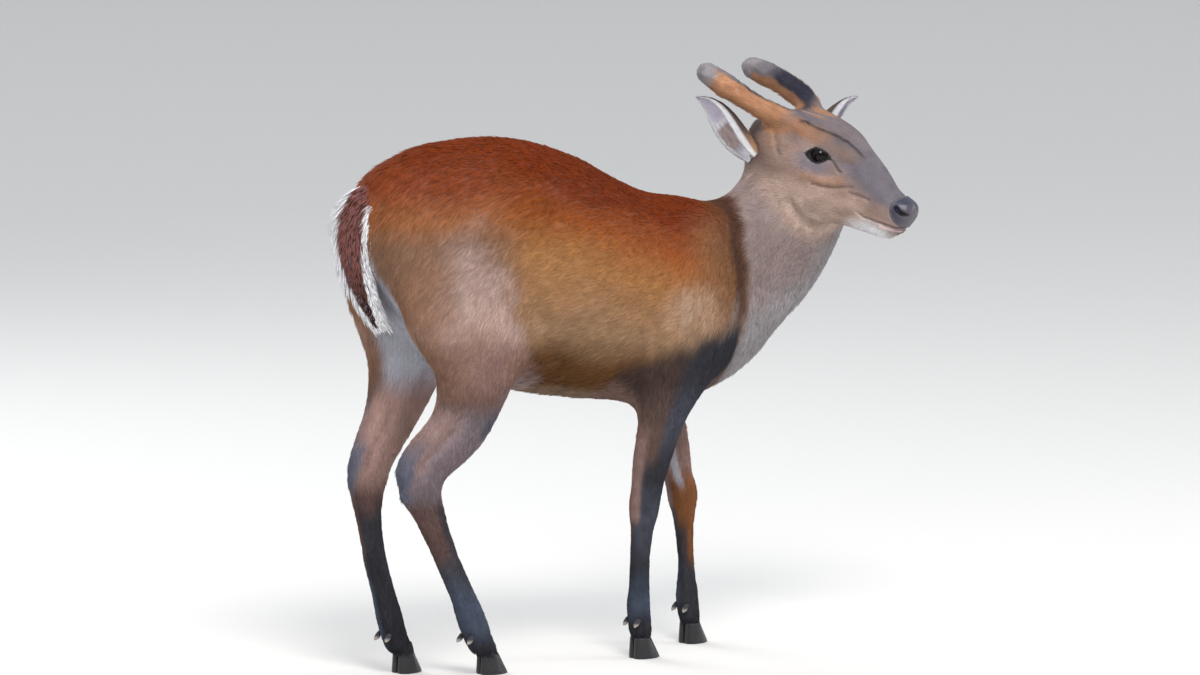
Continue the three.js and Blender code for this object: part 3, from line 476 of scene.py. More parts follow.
# Lines of the face in the head's frame, on the left side: the marks and the creases follow them.
FACE_LINES = {
    "forehead": [(-46, 33, 48), (-38, 36, 46), (-27, 39, 42), (-16, 37, 37), (-4, 34, 36), (8, 30, 36),
                 (20, 26, 36), (33, 22, 33), (47, 17, 27), (59, 15, 22)],
    "brow": [(-55, 48, 30), (-37, 43, 30), (-20, 38, 28), (-5, 36, 28), (8, 33, 27)],
    "tear": [(20, 37, 9), (25, 34, 9), (28, 32, 6), (33, 30, 1), (38, 29, -1)],
    "cheek": [(14, 39, -24), (22, 36, -24), (30, 31, -23), (43, 27, -18), (55, 25, -12)],
    "muzzle": [(53, 25, -19), (63, 24, -19), (72, 22, -18), (79, 21, -18)],
    "streak": [(4, 42, -18), (15, 38, -18), (28, 32, -17), (40, 28, -11)],
    "mouth": [(71, 21, -37), (79, 19, -40), (87, 18, -39), (98, 18, -38), (108, 17, -37), (117, 13, -36),
              (125, 7, -35), (128, 0, -34)],
    "upper_lip": [(92, 18, -35), (102, 18, -34), (111, 16, -33), (118, 12, -33)],
    "lower_lip": [(102, 16, -41), (111, 14, -41), (119, 10, -40), (124, 4, -39)],
    "nostril": [(112, 17, -14), (117, 17, -17), (122, 15, -18), (127, 13, -17)],
    "parting": [(133, 0, -16), (131, 0, -24), (128, 0, -31)],
    "jaw": [(4, 36, -54), (12, 26, -65), (24, 14, -67)],
    "under_jaw": [(-2, 36, -59), (8, 27, -69), (20, 14, -75)],
    "ear_fold": [(-64, 39, 12), (-46, 48, 8), (-41, 49, 1), (-36, 48, -8)],
}


def densely(line, step=1.5):
    """The same broken line with a point every step."""
    line = np.asarray(line, float)
    steps = np.concatenate([[0], np.cumsum(np.linalg.norm(np.diff(line, axis=0), axis=1))])
    wanted = np.linspace(0, steps[-1], int(steps[-1] / step) + 2)
    return np.stack([np.interp(wanted, steps, line[:, k]) for k in range(3)], axis=1)


def laid_on(line, surface):
    """The line moved onto the nearest points of a surface, and evened out."""
    line = densely(line)
    away = np.linalg.norm(line[:, None] - surface[None], axis=2)
    placed = surface[away.argmin(axis=1)]
    for _ in range(3):
        placed[1:-1] = (placed[:-2] + 2 * placed[1:-1] + placed[2:]) / 4
    return placed


# Marks of the face in the order that they are laid on: colour and strength, then the middle and half sizes
# of an oval, or the name, width and soft edge of a line, and last an axis and where the mark starts and ends.
FACE_MARKS = [
    (CHEEK * 0.6, 0.5, (4, 34, 30), (22, 20, 10)),
    (CHEEK * 0.8, 0.6, (58, 24, -44), (22, 20, 13)),
    (CHEEK * 0.85, 0.7, (98, 20, -24), (26, 20, 12)),
    (FACE_LILAC, 0.9, (6, 40, -2), (34, 40, 20)),
    (CHEEK * 0.62, 0.85, (32, 30, 20), (36, 24, 13)),
    (CHEEK * 0.45, 0.5, (40, 28, 14), (16, 20, 5)),
    (ORANGE * 0.95, 0.8, "brow", (5, 9), (0, 30, -20)),
    (FACE_SLATE * 1.1, 0.3, (-24, 42, 16), (26, 16, 10)),
    (ORANGE * 0.95, 0.9, (-24, 18, 44), (26, 15, 13)),
    (EAR_ROOT, 0.8, (-56, 42, 2), (22, 26, 20)),
    (EAR_BACK * 1.1, 0.85, (-82, 26, 8), (24, 30, 24)),
    # painted shade along the crease at the ear's fold
    (CHEEK * 0.3, 0.85, "ear_fold", (0.7, 2.2)),
    (ORANGE * 0.95, 0.42, "streak", (1.0, 8.0)),
    # painted shade along the creases of the cheek and the muzzle
    (CHEEK * 0.4, 0.8, "cheek", (0.6, 2.4)),
    (CHEEK * 0.5, 0.65, "muzzle", (0.5, 2.2)),
    (WHITE, 1.0, (94, 10, -54), (44, 30, 20), (2, -35, -40)),
    (CHEEK * 1.25, 0.4, "upper_lip", (0.4, 2.2)),
    (LIP, 0.8, "lower_lip", (0.6, 1.6)),
    # painted shade: the parting of the lips near black in front, and darker towards the corner of the mouth
    (BLACK, 0.95, "mouth", (0.4, 1.0), (0, 76, 88)),
    (CHEEK * 0.5, 0.7, "mouth", (0.4, 1.4), (0, 92, 80)),
]
# Oval of the nostril's hollow, painted near black as shade.
NOSTRIL_SHADE = ((122, 16, -17.5), (7, 7, 4.2))


def face_ground(q):
    """Slate muzzle and brownish forehead over a tan cheek and a paler jaw."""
    rise = q[:, 2] + 0.42 * q[:, 0] - 0.25 * q[:, 1]
    face = mix(plain(CHEEK, len(q)), FACE_SLATE, smooth(-4, 24, rise))
    cloud = 0.9 + 0.2 * noise(q, 14.0, 34)
    face = mix(face, FOREHEAD * cloud[:, None], smooth(70, 20, q[:, 0]) * smooth(20, 32, rise) * 0.7)
    face = mix(face, FACE_SLATE * 0.85, near(q, (100, 0, 2), (34, 16, 20)) * 0.6)
    face = mix(face, CHEEK * 0.85, smooth(-5, -35, q[:, 0]) * smooth(45, 25, q[:, 2]))
    return mix(face, JAW, smooth(-22, -40, q[:, 2] - 0.06 * q[:, 0]) * smooth(88, 66, q[:, 0]))


def face_colour(q):
    """Colour of the face at points of the head's frame on its left side."""
    def on(name, width, soft):
        return along_line(q, FACE_LINES[name], width, soft)

    face = face_ground(q)
    for tone, strength, place, size, *fade in FACE_MARKS:
        share = on(place, *size) if isinstance(place, str) else near(q, place, size)
        for axis, start, end in fade:
            share = share * smooth(start, end, q[:, axis])
        face = mix(face, tone, share * strength)
    line = on("forehead", 0.3, 2.3) * smooth(64, 40, q[:, 0]) * (0.75 + 0.5 * noise(q, 6.0, 35))
    face = mix(face, BLACK, line * 0.9)
    face = mix(face, NOSE, nose_pad(q))
    # painted shade: the nostril's hollow near black
    face = mix(face, BLACK * 0.3, np.maximum(on("nostril", 1.3, 1.2), near(q, *NOSTRIL_SHADE) > 0.45))
    eye = smooth(1.3, 1.1, eye_level(q)) * (q[:, 1] > EYE_INNER)
    return mix(face, BLACK * 0.4, np.maximum(on("tear", 0.6, 1.3), eye))


# Bare pad of the nose, as the middle and half sizes of an oval.
PAD_OVAL = ((121, 0, -16), (20, 26, 17))


def above_lip(q):
    """1 above the line of the mouth."""
    return smooth(-34, -31, q[:, 2])


def nose_pad(q):
    """1 on the bare pad of the nose."""
    return smooth(1.03, 0.97, oval(q, *PAD_OVAL)) * above_lip(q)


def head_colour(tone, p):
    """Face markings, from landmarks in the head's frame."""
    h = to_head(p)
    on_head = smooth(100, 75, oval(h, (20, 0, -10), (1.35, 0.75, 0.95)))
    chosen = on_head > 0
    out = tone.copy()
    out[chosen] = mix(tone[chosen], face_colour(one_side(h[chosen])), on_head[chosen])
    return out


# Middle lines of the pedicle and antler of each side, in the head's frame.
HORN_LINES = {
    "right": np.array([(-8, -23, 33), (-45, -32, 31), (-82, -46, 32), (-112, -54, 38), (-149, -62, 46.5)]),
    "left": np.array([(-8, 23, 34), (-45, 30, 43), (-73, 38, 49.5), (-108, 47, 53.5), (-146, 58, 51)]),
}
HORN_HALF = 14.0
# The dark crest is on the upper inner face, where this direction comes out of the horn.
CREST_WAY = {"right": np.array([0.0, 0.6, 0.8]), "left": np.array([0.0, -0.6, 0.8])}


def horn_colour(tone, p):
    """Orange pedicles with a dark crest on the upper inner face, greying at the velvet's tips."""
    h = to_head(p)
    for word, line in HORN_LINES.items():
        away, share = line_distance(h, line)
        on_horn = smooth(26, 19, away) * smooth(-34, -52, h[:, 0])
        middle = np.stack([np.interp(-h[:, 0], -line[:, 0], line[:, k]) for k in range(3)], axis=1)
        crest = (h - middle) @ CREST_WAY[word] / HORN_HALF
        streaks = 0.9 + 0.3 * noise(h * (0.2, 1, 1), 3.0, 33)
        own = mix(ORANGE * streaks[:, None], ORANGE * 0.7, smooth(0.1, 0.5, crest) * 0.6)
        own = mix(own, ORANGE * 0.75, smooth(-0.5, -0.9, crest) * 0.5)
        own = mix(own, CREST, smooth(0.42, 0.66, crest + 0.25 * (noise(h, 9.0, 31) - 0.5)))
        own = mix(own, VELVET * 0.8, smooth(0.62, 0.8, share) * smooth(0.3, 0.6, crest) * 0.7)
        own = mix(own, VELVET, smooth(0.86, 0.97, share + 0.06 * (noise(h, 8.0, 32) - 0.5)))
        tone = mix(tone, own, on_horn)
    return tone


def coat_colour(points, normals):
    """Linear colour of skin and coat at points of the row frame, the same function for both."""
    p = to_design(points)
    tone = trunk_colour(p, normals)
    tone = side_marks(tone, p)
    tone = neck_colour(tone, p, normals)
    tone = leg_colour(tone, p)
    tone = rear_colour(tone, p)
    tone = head_colour(tone, p)
    tone = horn_colour(tone, p)
    mottle = 0.86 + 0.28 * noise(p, 9.0, 11) + 0.10 * (noise(p, 35.0, 12) - 0.5)
    return np.clip(tone * mottle[:, None], 0, 1)


def rear_colour(tone, p):
    """Pale band beside the tail that runs down into the inner thighs."""
    y = np.abs(p[:, 1])
    behind = smooth(-232, -262, p[:, 0] + 0.25 * y)
    pale = behind * smooth(34, 18, y) * smooth(500, 470, p[:, 2]) * smooth(290, 340, p[:, 2])
    return mix(tone, GREY_WHITE, pale * 0.9)


# Coat: place, lie and length of hair in millimetres, with how far it stands off. Mirrored in y.
COAT = [
    # x, y, z, lie x, y, z, length, lift
    (-290, 0, 590, -0.75, 0.0, -0.60, 15, 0.16),
    (-200, 20, 612, -1.0, 0.05, -0.10, 14, 0.12),
    (-60, 20, 575, -1.0, 0.05, 0.05, 13, 0.11),
    (60, 20, 530, -1.0, 0.05, 0.0, 13, 0.11),
    (-100, 90, 460, -1.0, 0.0, -0.28, 13, 0.10),
    (20, 88, 420, -1.0, 0.0, -0.30, 12, 0.10),
    (-60, 60, 330, -0.95, 0.0, -0.35, 13, 0.12),
    (-60, 0, 305, -1.0, 0.0, 0.0, 15, 0.15),
    (-245, 95, 470, -0.80, 0.0, -0.60, 14, 0.12),
    (-235, 95, 400, -0.50, 0.0, -0.86, 13, 0.12),
    (-300, 45, 480, -0.45, -0.2, -0.88, 15, 0.15),
    (-280, 10, 400, -0.10, 0.0, -1.0, 14, 0.15),
    (-240, 75, 300, -0.30, 0.0, -0.95, 9, 0.12),
    (-280, 48, 215, 0.15, 0.0, -1.0, 8, 0.12),
    (-250, 40, 120, 0.15, 0.0, -1.0, 6, 0.10),
    (-190, 34, 40, 0.20, 0.0, -1.0, 6, 0.14),
    (85, 90, 430, -0.60, 0.0, -0.80, 12, 0.10),
    (60, 70, 320, -0.15, 0.0, -1.0, 9, 0.10),
    (60, 45, 200, 0.0, 0.0, -1.0, 6, 0.10),
    (60, 38, 100, 0.0, 0.0, -1.0, 5, 0.10),
    (60, 34, 40, 0.1, 0.0, -1.0, 6, 0.14),
    (170, 0, 350, -0.25, 0.0, -1.0, 14, 0.14),
    (165, 60, 420, -0.65, 0.0, -0.75, 12, 0.11),
    (230, 50, 480, -0.62, 0.0, -0.78, 11, 0.11),
    (250, 0, 420, -0.40, 0.0, -0.90, 13, 0.14),
    (190, 0, 525, -0.85, 0.0, -0.35, 12, 0.11),
]
# The same for the head, in its own frame.
HEAD_COAT = [
    (128, 0, -5, -1.0, 0.15, 0.1, 2.2, 0.10),
    (100, 18, -20, -1.0, 0.10, -0.1, 2.8, 0.10),
    (60, 0, 28, -1.0, 0.10, 0.25, 3.6, 0.09),
    (60, 25, -25, -1.0, 0.0, -0.35, 4.0, 0.09),
    (10, 36, -30, -0.95, 0.0, -0.45, 5.0, 0.10),
    (10, 0, 46, -1.0, 0.10, 0.0, 4.5, 0.10),
    (0, 30, 30, -1.0, 0.2, 0.05, 4.5, 0.11),
    (-60, 34, 42, -1.0, 0.25, 0.08, 8.0, 0.26),
    (-100, 46, 46, -1.0, 0.25, 0.08, 8.0, 0.28),
    (-130, 55, 49, -1.0, 0.25, 0.08, 6.0, 0.28),
    (-45, 30, -10, -1.0, 0.1, -0.30, 7.0, 0.12),
    (-40, 0, -50, -0.85, 0.0, -0.50, 9.0, 0.13),
    (40, 0, -66, -1.0, 0.0, -0.10, 7.0, 0.14),
    (105, 8, -52, -1.0, 0.15, -0.35, 6.0, 0.20),
]


def coat_rows():
    """Places, lies, lengths and lifts of all rows, on both sides, in the design frame."""
    rows = []
    for side in (-1.0, 1.0):
        for x, y, z, a, b, c, length, lift in COAT:
            rows.append((np.array([x, y * side, z], float), np.array([a, b * side, c]), length, lift))
        for x, y, z, a, b, c, length, lift in HEAD_COAT:
            place = from_head((x, y * side, z))
            rows.append((place, HEAD_AXES @ np.array([a, b * side, c]), length, lift))
    places, lies, lengths, lifts = (np.array(part) for part in zip(*rows))
    return places, unit(lies), lengths, lifts


COAT_PLACES, COAT_LIES, COAT_LENGTHS, COAT_LIFTS = coat_rows()


def coat_at(points):
    """Lie, length in metres and lift of the hair at points of the row frame."""
    p = to_design(points)
    lie = np.zeros_like(p)
    length = np.zeros(len(p))
    lift = np.zeros(len(p))
    total = np.zeros(len(p))
    for place, own_lie, own_length, own_lift in zip(COAT_PLACES, COAT_LIES, COAT_LENGTHS, COAT_LIFTS):
        weight = 1.0 / (np.sum((p - place) ** 2, axis=1) + 60.0) ** 2
        lie += weight[:, None] * own_lie
        length += weight * own_length
        lift += weight * own_lift
        total += weight
    return unit(lie), length / total * MM, lift / total


# Meshes as arrays.
def merged(points, faces, step=1e-5):
    """Join points that lie within a step of each other."""
    cells = np.round(points / step).astype(np.int64)
    _, first, back = np.unique(cells, axis=0, return_index=True, return_inverse=True)
    faces = back.ravel()[faces]
    good = (faces[:, 0] != faces[:, 1]) & (faces[:, 1] != faces[:, 2]) & (faces[:, 2] != faces[:, 0])
    return points[first], faces[good]


def mesh_arrays(mesh, corners):
    """Points and faces of a mesh whose faces all have the same number of corners."""
    points = np.zeros(len(mesh.vertices) * 3, np.float32)
    mesh.vertices.foreach_get("co", points)
    faces = np.zeros(len(mesh.loops), np.int32)
    mesh.loops.foreach_get("vertex_index", faces)
    return points.reshape(-1, 3).astype(float), faces.reshape(-1, corners)


def node_arrays(name):
    """Points and triangles of a CAD node in the row frame."""
    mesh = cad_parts[name].data
    mesh.calc_loop_triangles()
    points = np.zeros(len(mesh.vertices) * 3, np.float32)
    mesh.vertices.foreach_get("co", points)
    faces = np.zeros(len(mesh.loop_triangles) * 3, np.int32)
    mesh.loop_triangles.foreach_get("vertices", faces)
    return merged(points.reshape(-1, 3).astype(float), faces.reshape(-1, 3))


def face_normals(points, faces):
    return np.cross(points[faces[:, 1]] - points[faces[:, 0]], points[faces[:, -1]] - points[faces[:, 0]])


def point_normals(points, faces):
    """Unit normals at points. Faces have three or four corners."""
    flat = face_normals(points, faces)
    total = np.zeros_like(points)
    for k in range(faces.shape[1]):
        for axis in range(3):
            total[:, axis] += np.bincount(faces[:, k], flat[:, axis], len(points))
    return unit(total)


def mesh_of(name, points, faces, smooth_shading=True):
    """A mesh from arrays of points and of faces with the same number of corners."""
    mesh = bpy.data.meshes.new(name)
    corners = faces.shape[1]
    mesh.vertices.add(len(points))
    mesh.vertices.foreach_set("co", np.asarray(points, np.float32).ravel())
    mesh.loops.add(faces.size)
    mesh.loops.foreach_set("vertex_index", np.asarray(faces, np.int32).ravel())
    mesh.polygons.add(len(faces))
    mesh.polygons.foreach_set("loop_start", np.arange(len(faces), dtype=np.int32) * corners)
    mesh.update(calc_edges=True)
    mesh.polygons.foreach_set("use_smooth", np.full(len(faces), smooth_shading))
    mesh.update()
    return mesh


def object_of(mesh):
    obj = bpy.data.objects.new(mesh.name, mesh)
    bpy.context.scene.collection.objects.link(obj)
    return obj


def write_colours(mesh, colours, name="tone"):
    """Store one linear colour for each point."""
    layer = mesh.color_attributes.new(name, "FLOAT_COLOR", "POINT")
    values = np.ones((len(colours), 4), np.float32)
    values[:, :3] = colours
    layer.data.foreach_set("color", values.ravel())


def add_piece(mesh, material, nodes=()):
    """Put a mesh in the scene as a piece of the body, in place of the CAD nodes that it stands for."""
    mesh.materials.append(material)
    obj = object_of(mesh)
    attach(obj, "root")
    if nodes:
        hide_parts(*nodes)


def write_values(mesh, values, name):
    layer = mesh.attributes.new(name, "FLOAT", "POINT")
    layer.data.foreach_set("value", np.asarray(values, np.float32))


# Skin.
SKIN_NODES = ["torso", "neck", "head", "pedicle_right", "pedicle_left", "tail"]
SKIN_NODES += [f"upper_leg_{leg}" for leg in LEGS] + [f"lower_leg_{leg}" for leg in LEGS]
UNDER_SKIN = ["eye_right", "eye_left", "antler_right", "antler_left"]  # the skin runs on beneath these
JOIN = 0.0005  # how far each solid grows to meet its neighbour
VOXEL = 0.004


def grown(name):
    points, faces = node_arrays(name)
    return points + point_normals(points, faces) * JOIN, faces


# Tail without its fringe: x, y, z, half depth, half width.
TAIL = np.array([
    [-308, 0, 554, 15, 17],
    [-328, 0, 538, 16, 21],
    [-338, 0, 508, 16, 23],
    [-335, 0, 468, 14, 21],
    [-319, 0, 430, 11, 14],
    [-301, 0, 400, 7, 7],
], float)


def tube(rows, around=20):
    """A closed tube through rows of centre, half depth and half width, in millimetres."""
    centres = rows[:, :3]
    along = unit(np.gradient(centres, axis=0))
    depth = unit(np.cross(along, SIDEWAYS))
    angle = np.linspace(0, 2 * np.pi, around, endpoint=False)
    rings = centres[:, None] + depth[:, None] * (rows[:, 3, None] * np.cos(angle))[..., None]
    rings = rings + SIDEWAYS * (rows[:, 4, None] * np.sin(angle))[..., None]
    return rings_mesh(rings)


def rings_mesh(rings):
    """A closed mesh of triangles over a stack of rings, with a point at the middle of each end."""
    count, around, _ = rings.shape
    points = np.vstack([rings.reshape(-1, 3), rings[0].mean(axis=0), rings[-1].mean(axis=0)])
    ring, k = np.meshgrid(np.arange(count - 1), np.arange(around), indexing="ij")
    a, b = (ring * around + k).ravel(), (ring * around + (k + 1) % around).ravel()
    c, d = b + around, a + around
    k = np.arange(around)
    low, high = len(points) - 2, len(points) - 1
    top = (count - 1) * around
    ends = [np.stack([np.full(around, low), (k + 1) % around, k], axis=1),
            np.stack([np.full(around, high), top + k, top + (k + 1) % around], axis=1)]
    faces = np.vstack([np.stack([a, b, c], axis=1), np.stack([a, c, d], axis=1), *ends])
    volume = np.einsum("ij,ij->", points[faces[:, 0]], np.cross(points[faces[:, 1]], points[faces[:, 2]]))
    return points, (faces if volume > 0 else faces[:, ::-1])


def resampled(rows, steps):
    """Rows with more between them, along a smooth curve."""
    count = len(rows)
    t = np.linspace(0, count - 1, (count - 1) * steps + 1)
    k = np.minimum(t.astype(int), count - 2)
    f = (t - k)[:, None]
    before, after = rows[np.maximum(k - 1, 0)], rows[np.minimum(k + 2, count - 1)]
    a, b = rows[k], rows[k + 1]
    return 0.5 * (2 * a + (b - before) * f + (2 * before - 5 * a + 4 * b - after) * f ** 2
                  + (3 * a - before - 3 * b + after) * f ** 3)


def tail_core():
    points, faces = tube(resampled(TAIL, 4) * (1, 1, 1, 0.9, 0.9))
    return to_row(points), faces


def joined(parts):
    """Several pairs of points and faces as one pair."""
    offsets = np.cumsum([0] + [len(points) for points, _ in parts[:-1]])
    return np.vstack([p for p, _ in parts]), np.vstack([f + k for (_, f), k in zip(parts, offsets)])


def voxel_skin(parts, size):
    """One closed quad mesh round all the parts, as arrays."""
    obj = object_of(mesh_of("remesh", *joined(parts)))
    remesh = obj.modifiers.new("remesh", "REMESH")
    remesh.mode = "VOXEL"
    remesh.voxel_size = size
    mesh = bpy.data.meshes.new_from_object(obj.evaluated_get(bpy.context.evaluated_depsgraph_get()))
    arrays = mesh_arrays(mesh, 4)
    bpy.data.objects.remove(obj)
    bpy.data.meshes.remove(mesh)
    return arrays


def edges_of(faces):
    """Each edge once, as pairs of points."""
    around = np.stack([faces, np.roll(faces, -1, axis=1)], axis=-1).reshape(-1, 2)
    return np.unique(np.sort(around, axis=1), axis=0)


def neighbour_mean(values, edges, count):
    """Mean of the neighbours of each point."""
    a, b = edges[:, 0], edges[:, 1]
    number = np.bincount(a, minlength=count) + np.bincount(b, minlength=count)
    columns = []
    for column in values.T:
        total = np.bincount(a, column[b], count) + np.bincount(b, column[a], count)
        columns.append(total / number)
    return np.stack(columns, axis=1)


def relaxed(points, edges, weight, rounds):
    """Points drawn towards their neighbours, round after round, by a weight for each point."""
    for _ in range(rounds):
        points = points + weight[:, None] * (neighbour_mean(points, edges, len(points)) - points)
    return points


def calmed(points, faces, weight, rounds):
    """The points of a mesh smoothed by the same weight everywhere."""
    return relaxed(points, edges_of(faces), np.full(len(points), weight), rounds)


def smoothing_weight(points):
    """How much each place of the skin is smoothed: much on the trunk, little on the face and lower legs."""
    p = to_design(points)
    weight = np.full(len(p), 0.5)
    low_leg = smooth(300, 215, p[:, 2])
    weight += (0.055 - weight) * low_leg
    h = to_head(p)
    on_head = smooth(125, 85, oval(h, (20, 0, -10), (1.3, 1.0, 1.0)))
    weight = weight + (0.06 - weight) * on_head
    on_horn = smooth(-30, -60, h[:, 0]) * smooth(20, 30, h[:, 2]) * smooth(90, 80, np.abs(h[:, 1]))
    on_horn = on_horn * smooth(-200, -180, h[:, 0])
    return weight + (0.10 - weight) * on_horn


def coat_depth(points):
    """How far the skin lies under the solids, which end at the outside of the coat."""
    _, length, lift = coat_at(points)
    return np.clip(length * (lift + 0.04), 0.0003, 0.0026)


CALM_ROUNDS = 110  # rounds of smoothing that take out the steps between the solids
LOST_ROUNDS = 60  # rounds that even out what they took off, before it is given back


def skin_arrays():
    solids = [grown(name) for name in SKIN_NODES + UNDER_SKIN if name != "tail"]
    points, faces = voxel_skin(solids + [tail_core()], VOXEL)
    edges = edges_of(faces)
    calm = relaxed(points, edges, smoothing_weight(points), CALM_ROUNDS)
    normals = point_normals(calm, faces)
    lost = np.sum((points - calm) * normals, axis=1)
    lost = relaxed(lost[:, None], edges, np.full(len(points), 0.5), LOST_ROUNDS)[:, 0]
    points = calm + normals * (lost - coat_depth(calm))[:, None]
    return points, faces


def refined(points, faces, chosen):
    """Each chosen face cut in four, with its neighbours filled in. Returns arrays of triangles."""
    mesh = mesh_of("refine", points, faces)
    work = bmesh.new()
    work.from_mesh(mesh)
    work.faces.ensure_lookup_table()
    edges = list({edge for index in np.flatnonzero(chosen) for edge in work.faces[index].edges})
    bmesh.ops.subdivide_edges(work, edges=edges, cuts=1, use_grid_fill=True, smooth=0.0)
    bmesh.ops.triangulate(work, faces=work.faces)
    work.to_mesh(mesh)
    work.free()
    arrays = mesh_arrays(mesh, 3)
    bpy.data.meshes.remove(mesh)
    return arrays


HEAD_MIDDLE = (30, 0, -8)
FINE_HALF = (120, 56, 66)  # half sizes of the oval that gets a finer mesh
FACE_HALF = (130, 60, 70)  # and of the one that holds the whole face


def fine_places(q):
    """Where the face needs the finest mesh: the muzzle's end and round the eyes."""
    eye = oval(q - EYE, (6, 5, -2), (28, 20, 18)) < 1
    return (q[:, 0] > 66) & (np.abs(q[:, 2] + 20) < 40) & (q[:, 0] < 150) & (q[:, 1] < 40) | eye


def fine_head(points, faces):
    """The same skin with a finer mesh on the head."""
    middles = head_side(points[faces].mean(axis=1))
    points, faces = refined(points, faces, oval(middles, HEAD_MIDDLE, FINE_HALF) < 1)
    points, faces = refined(points, faces, fine_places(head_side(points[faces].mean(axis=1))))
    weight = 0.4 * smooth(1.1, 0.9, oval(head_side(points), HEAD_MIDDLE, FINE_HALF))
    return relaxed(points, edges_of(faces), weight, 8), faces


def eye_level(q):
    """How far points lie from the eye's middle, as a share of the almond shape of its opening."""
    x, z = q[:, 0] - EYE[0], q[:, 2] - EYE[2]
    tilt = math.radians(LID["tilt"])
    u = (x * math.cos(tilt) + z * math.sin(tilt)) / LID["length"]
    v = (z * math.cos(tilt) - x * math.sin(tilt)) / LID["height"]
    return np.sqrt(u ** 2 + (v / np.maximum(1 - 0.3 * u ** 2, 0.35)) ** 2)


# Relief of the face: the line it follows, its half width in millimetres, and how high it stands.
FACE_RELIEF = [
    ("tear", 1.4, -2.6),
    ("tear", 4.5, 0.9),
    ("cheek", 2.4, -1.8),
    ("muzzle", 2.2, -1.5),
    ("streak", 5.0, 1.2),
    ("mouth", 1.3, -2.4),
    ("upper_lip", 3.0, 0.9),
    ("lower_lip", 3.0, 0.9),
    ("nostril", 2.2, -5.0),
    ("nostril", 5.5, 1.6),
    ("parting", 1.0, -1.2),
    ("forehead", 2.4, 1.0),
    ("brow", 6.0, 1.0),
    ("jaw", 6.0, 2.0),
    ("under_jaw", 6.5, -3.5),
    ("ear_fold", 3.0, -2.5),
]


def ridges(points, relief):
    """Sum of soft ridges, each with its line, half width and height."""
    rise = np.zeros(len(points))
    for line, width, height in relief:
        away, _ = line_distance(points, line)
        rise += height * np.exp(-(away / width) ** 2)
    return rise


def sculpt_head(points, faces):
    """Eye sockets, lids, creases, lips and nostrils on the skin of the head."""
    h = to_head(to_design(points))
    q = one_side(h)
    surface = q[oval(q, HEAD_MIDDLE, FACE_HALF) < 1]
    for name, line in FACE_LINES.items():
        FACE_LINES[name] = laid_on(line, surface)
    normals = one_way(point_normals(points, faces) @ HEAD_AXES, h)
    rise = ridges(q, ((FACE_LINES[name], width, height) for name, width, height in FACE_RELIEF))
    rise += 1.3 * nose_pad(q) - np.exp(-((oval(q, *PAD_OVAL) - 1.06) / 0.05) ** 2) * above_lip(q)
    level = eye_level(q)
    by_eye = (q[:, 1] > EYE[1] - 6) & (level < 3)
    rise = np.where(by_eye & (level < 1.4), 0, rise)
    q = q + normals * rise[:, None]
    q = np.where(by_eye[:, None], lids_over_eye(q, level), q)
    q[:, 1] *= np.where(h[:, 1] < 0, -1, 1)
    return to_row(from_head(q))


# Relief of the body in the design frame, the same way: a line, its half width, and how high it stands.
BODY_RELIEF = [
    ([(160, 60, 485), (154, 75, 440), (142, 85, 395)], 11, -2.6),
    ([(18, 88, 385), (22, 84, 350), (32, 74, 322)], 8, -3.0),
    ([(-140, 90, 410), (-122, 82, 365), (-100, 70, 338)], 11, -3.0),
    ([(-192, 96, 530), (-168, 100, 470), (-152, 96, 415)], 15, -2.0),
    ([(105, 60, 505), (78, 84, 455), (64, 94, 405)], 16, 2.0),
    ([(64, 94, 395), (92, 92, 365)], 18, 2.5),
    ([(-285, 60, 560), (-290, 62, 480), (-280, 60, 420)], 12, 1.5),
    ([(196, 56, 500), (196, 66, 450), (186, 70, 400)], 6, -1.2),
    ([(212, 54, 500), (214, 62, 455), (208, 66, 405)], 6, -1.0),
]


def body_relief(p):
    """Height of the muscles' edges and of the hollow in front of the hind leg's tendon, in millimetres."""
    z = p[:, 2]
    rise = ridges(one_side(p), BODY_RELIEF)
    for leg in LEGS:
        forward, outward = leg_place(leg, p)
        mine = in_leg(leg, p) & (np.abs(forward) < 1.3)
        if leg.startswith("hind"):
            hollow = np.exp(-((forward + 0.42) / 0.2) ** 2) * smooth(225, 250, z) * smooth(350, 300, z)
            rise -= mine * 3.0 * hollow * smooth(0.2, 0.7, np.abs(outward))
        groove = np.exp(-((forward + 0.3) / 0.22) ** 2) * smooth(60, 80, z) * smooth(190, 160, z)
        rise -= mine * 1.2 * groove * smooth(0.2, 0.7, np.abs(outward))
    return rise


def one_way(normals, h):
    """Normals folded to one side along with their points."""
    folded = normals.copy()
    folded[:, 1] *= np.where(h[:, 1] < 0, -1, 1)
    return folded


def lids_over_eye(q, level):
    """Skin near the eye: sunk behind the ball in the opening, and lying over it as lids around."""
    from_eye = q - EYE
    far = np.linalg.norm(from_eye, axis=1)
    way = from_eye / np.maximum(far, 1e-6)[:, None]
    lid = EYE_RADIUS + 1.5 - 0.7 * np.exp(-((level - 1.45) / 0.16) ** 2) * (q[:, 2] > EYE[2])
    outside = np.maximum(far, lid)
    target = np.where(level < 0.9, EYE_RADIUS - 2.8, outside)
    settled = target + (far - target) * smooth(1.5, 2.6, level)
    return EYE + way * settled[:, None]


# Painted shade: the skin beneath the hair is darker, as if shaded by it.
SKIN_SHADE_UNDER_HAIR = 0.8  # how bright the skin is beneath the hair, as a share of the hair


def make_skin():
    points, faces = fine_head(*skin_arrays())
    points = points + point_normals(points, faces) * (body_relief(to_design(points)) * MM)[:, None]
    points = sculpt_head(points, faces)
    normals = point_normals(points, faces)
    mesh = mesh_of("skin", points, faces)
    # painted shade on the skin under the hair; none on the bare places
    shade = SKIN_SHADE_UNDER_HAIR + (1 - SKIN_SHADE_UNDER_HAIR) * bare_places(points)
    write_colours(mesh, coat_colour(points, normals) * shade[:, None])
    write_values(mesh, glossy_places(points), "gloss")
    add_piece(mesh, SKIN_MATERIAL, SKIN_NODES)
    return points, faces, normals


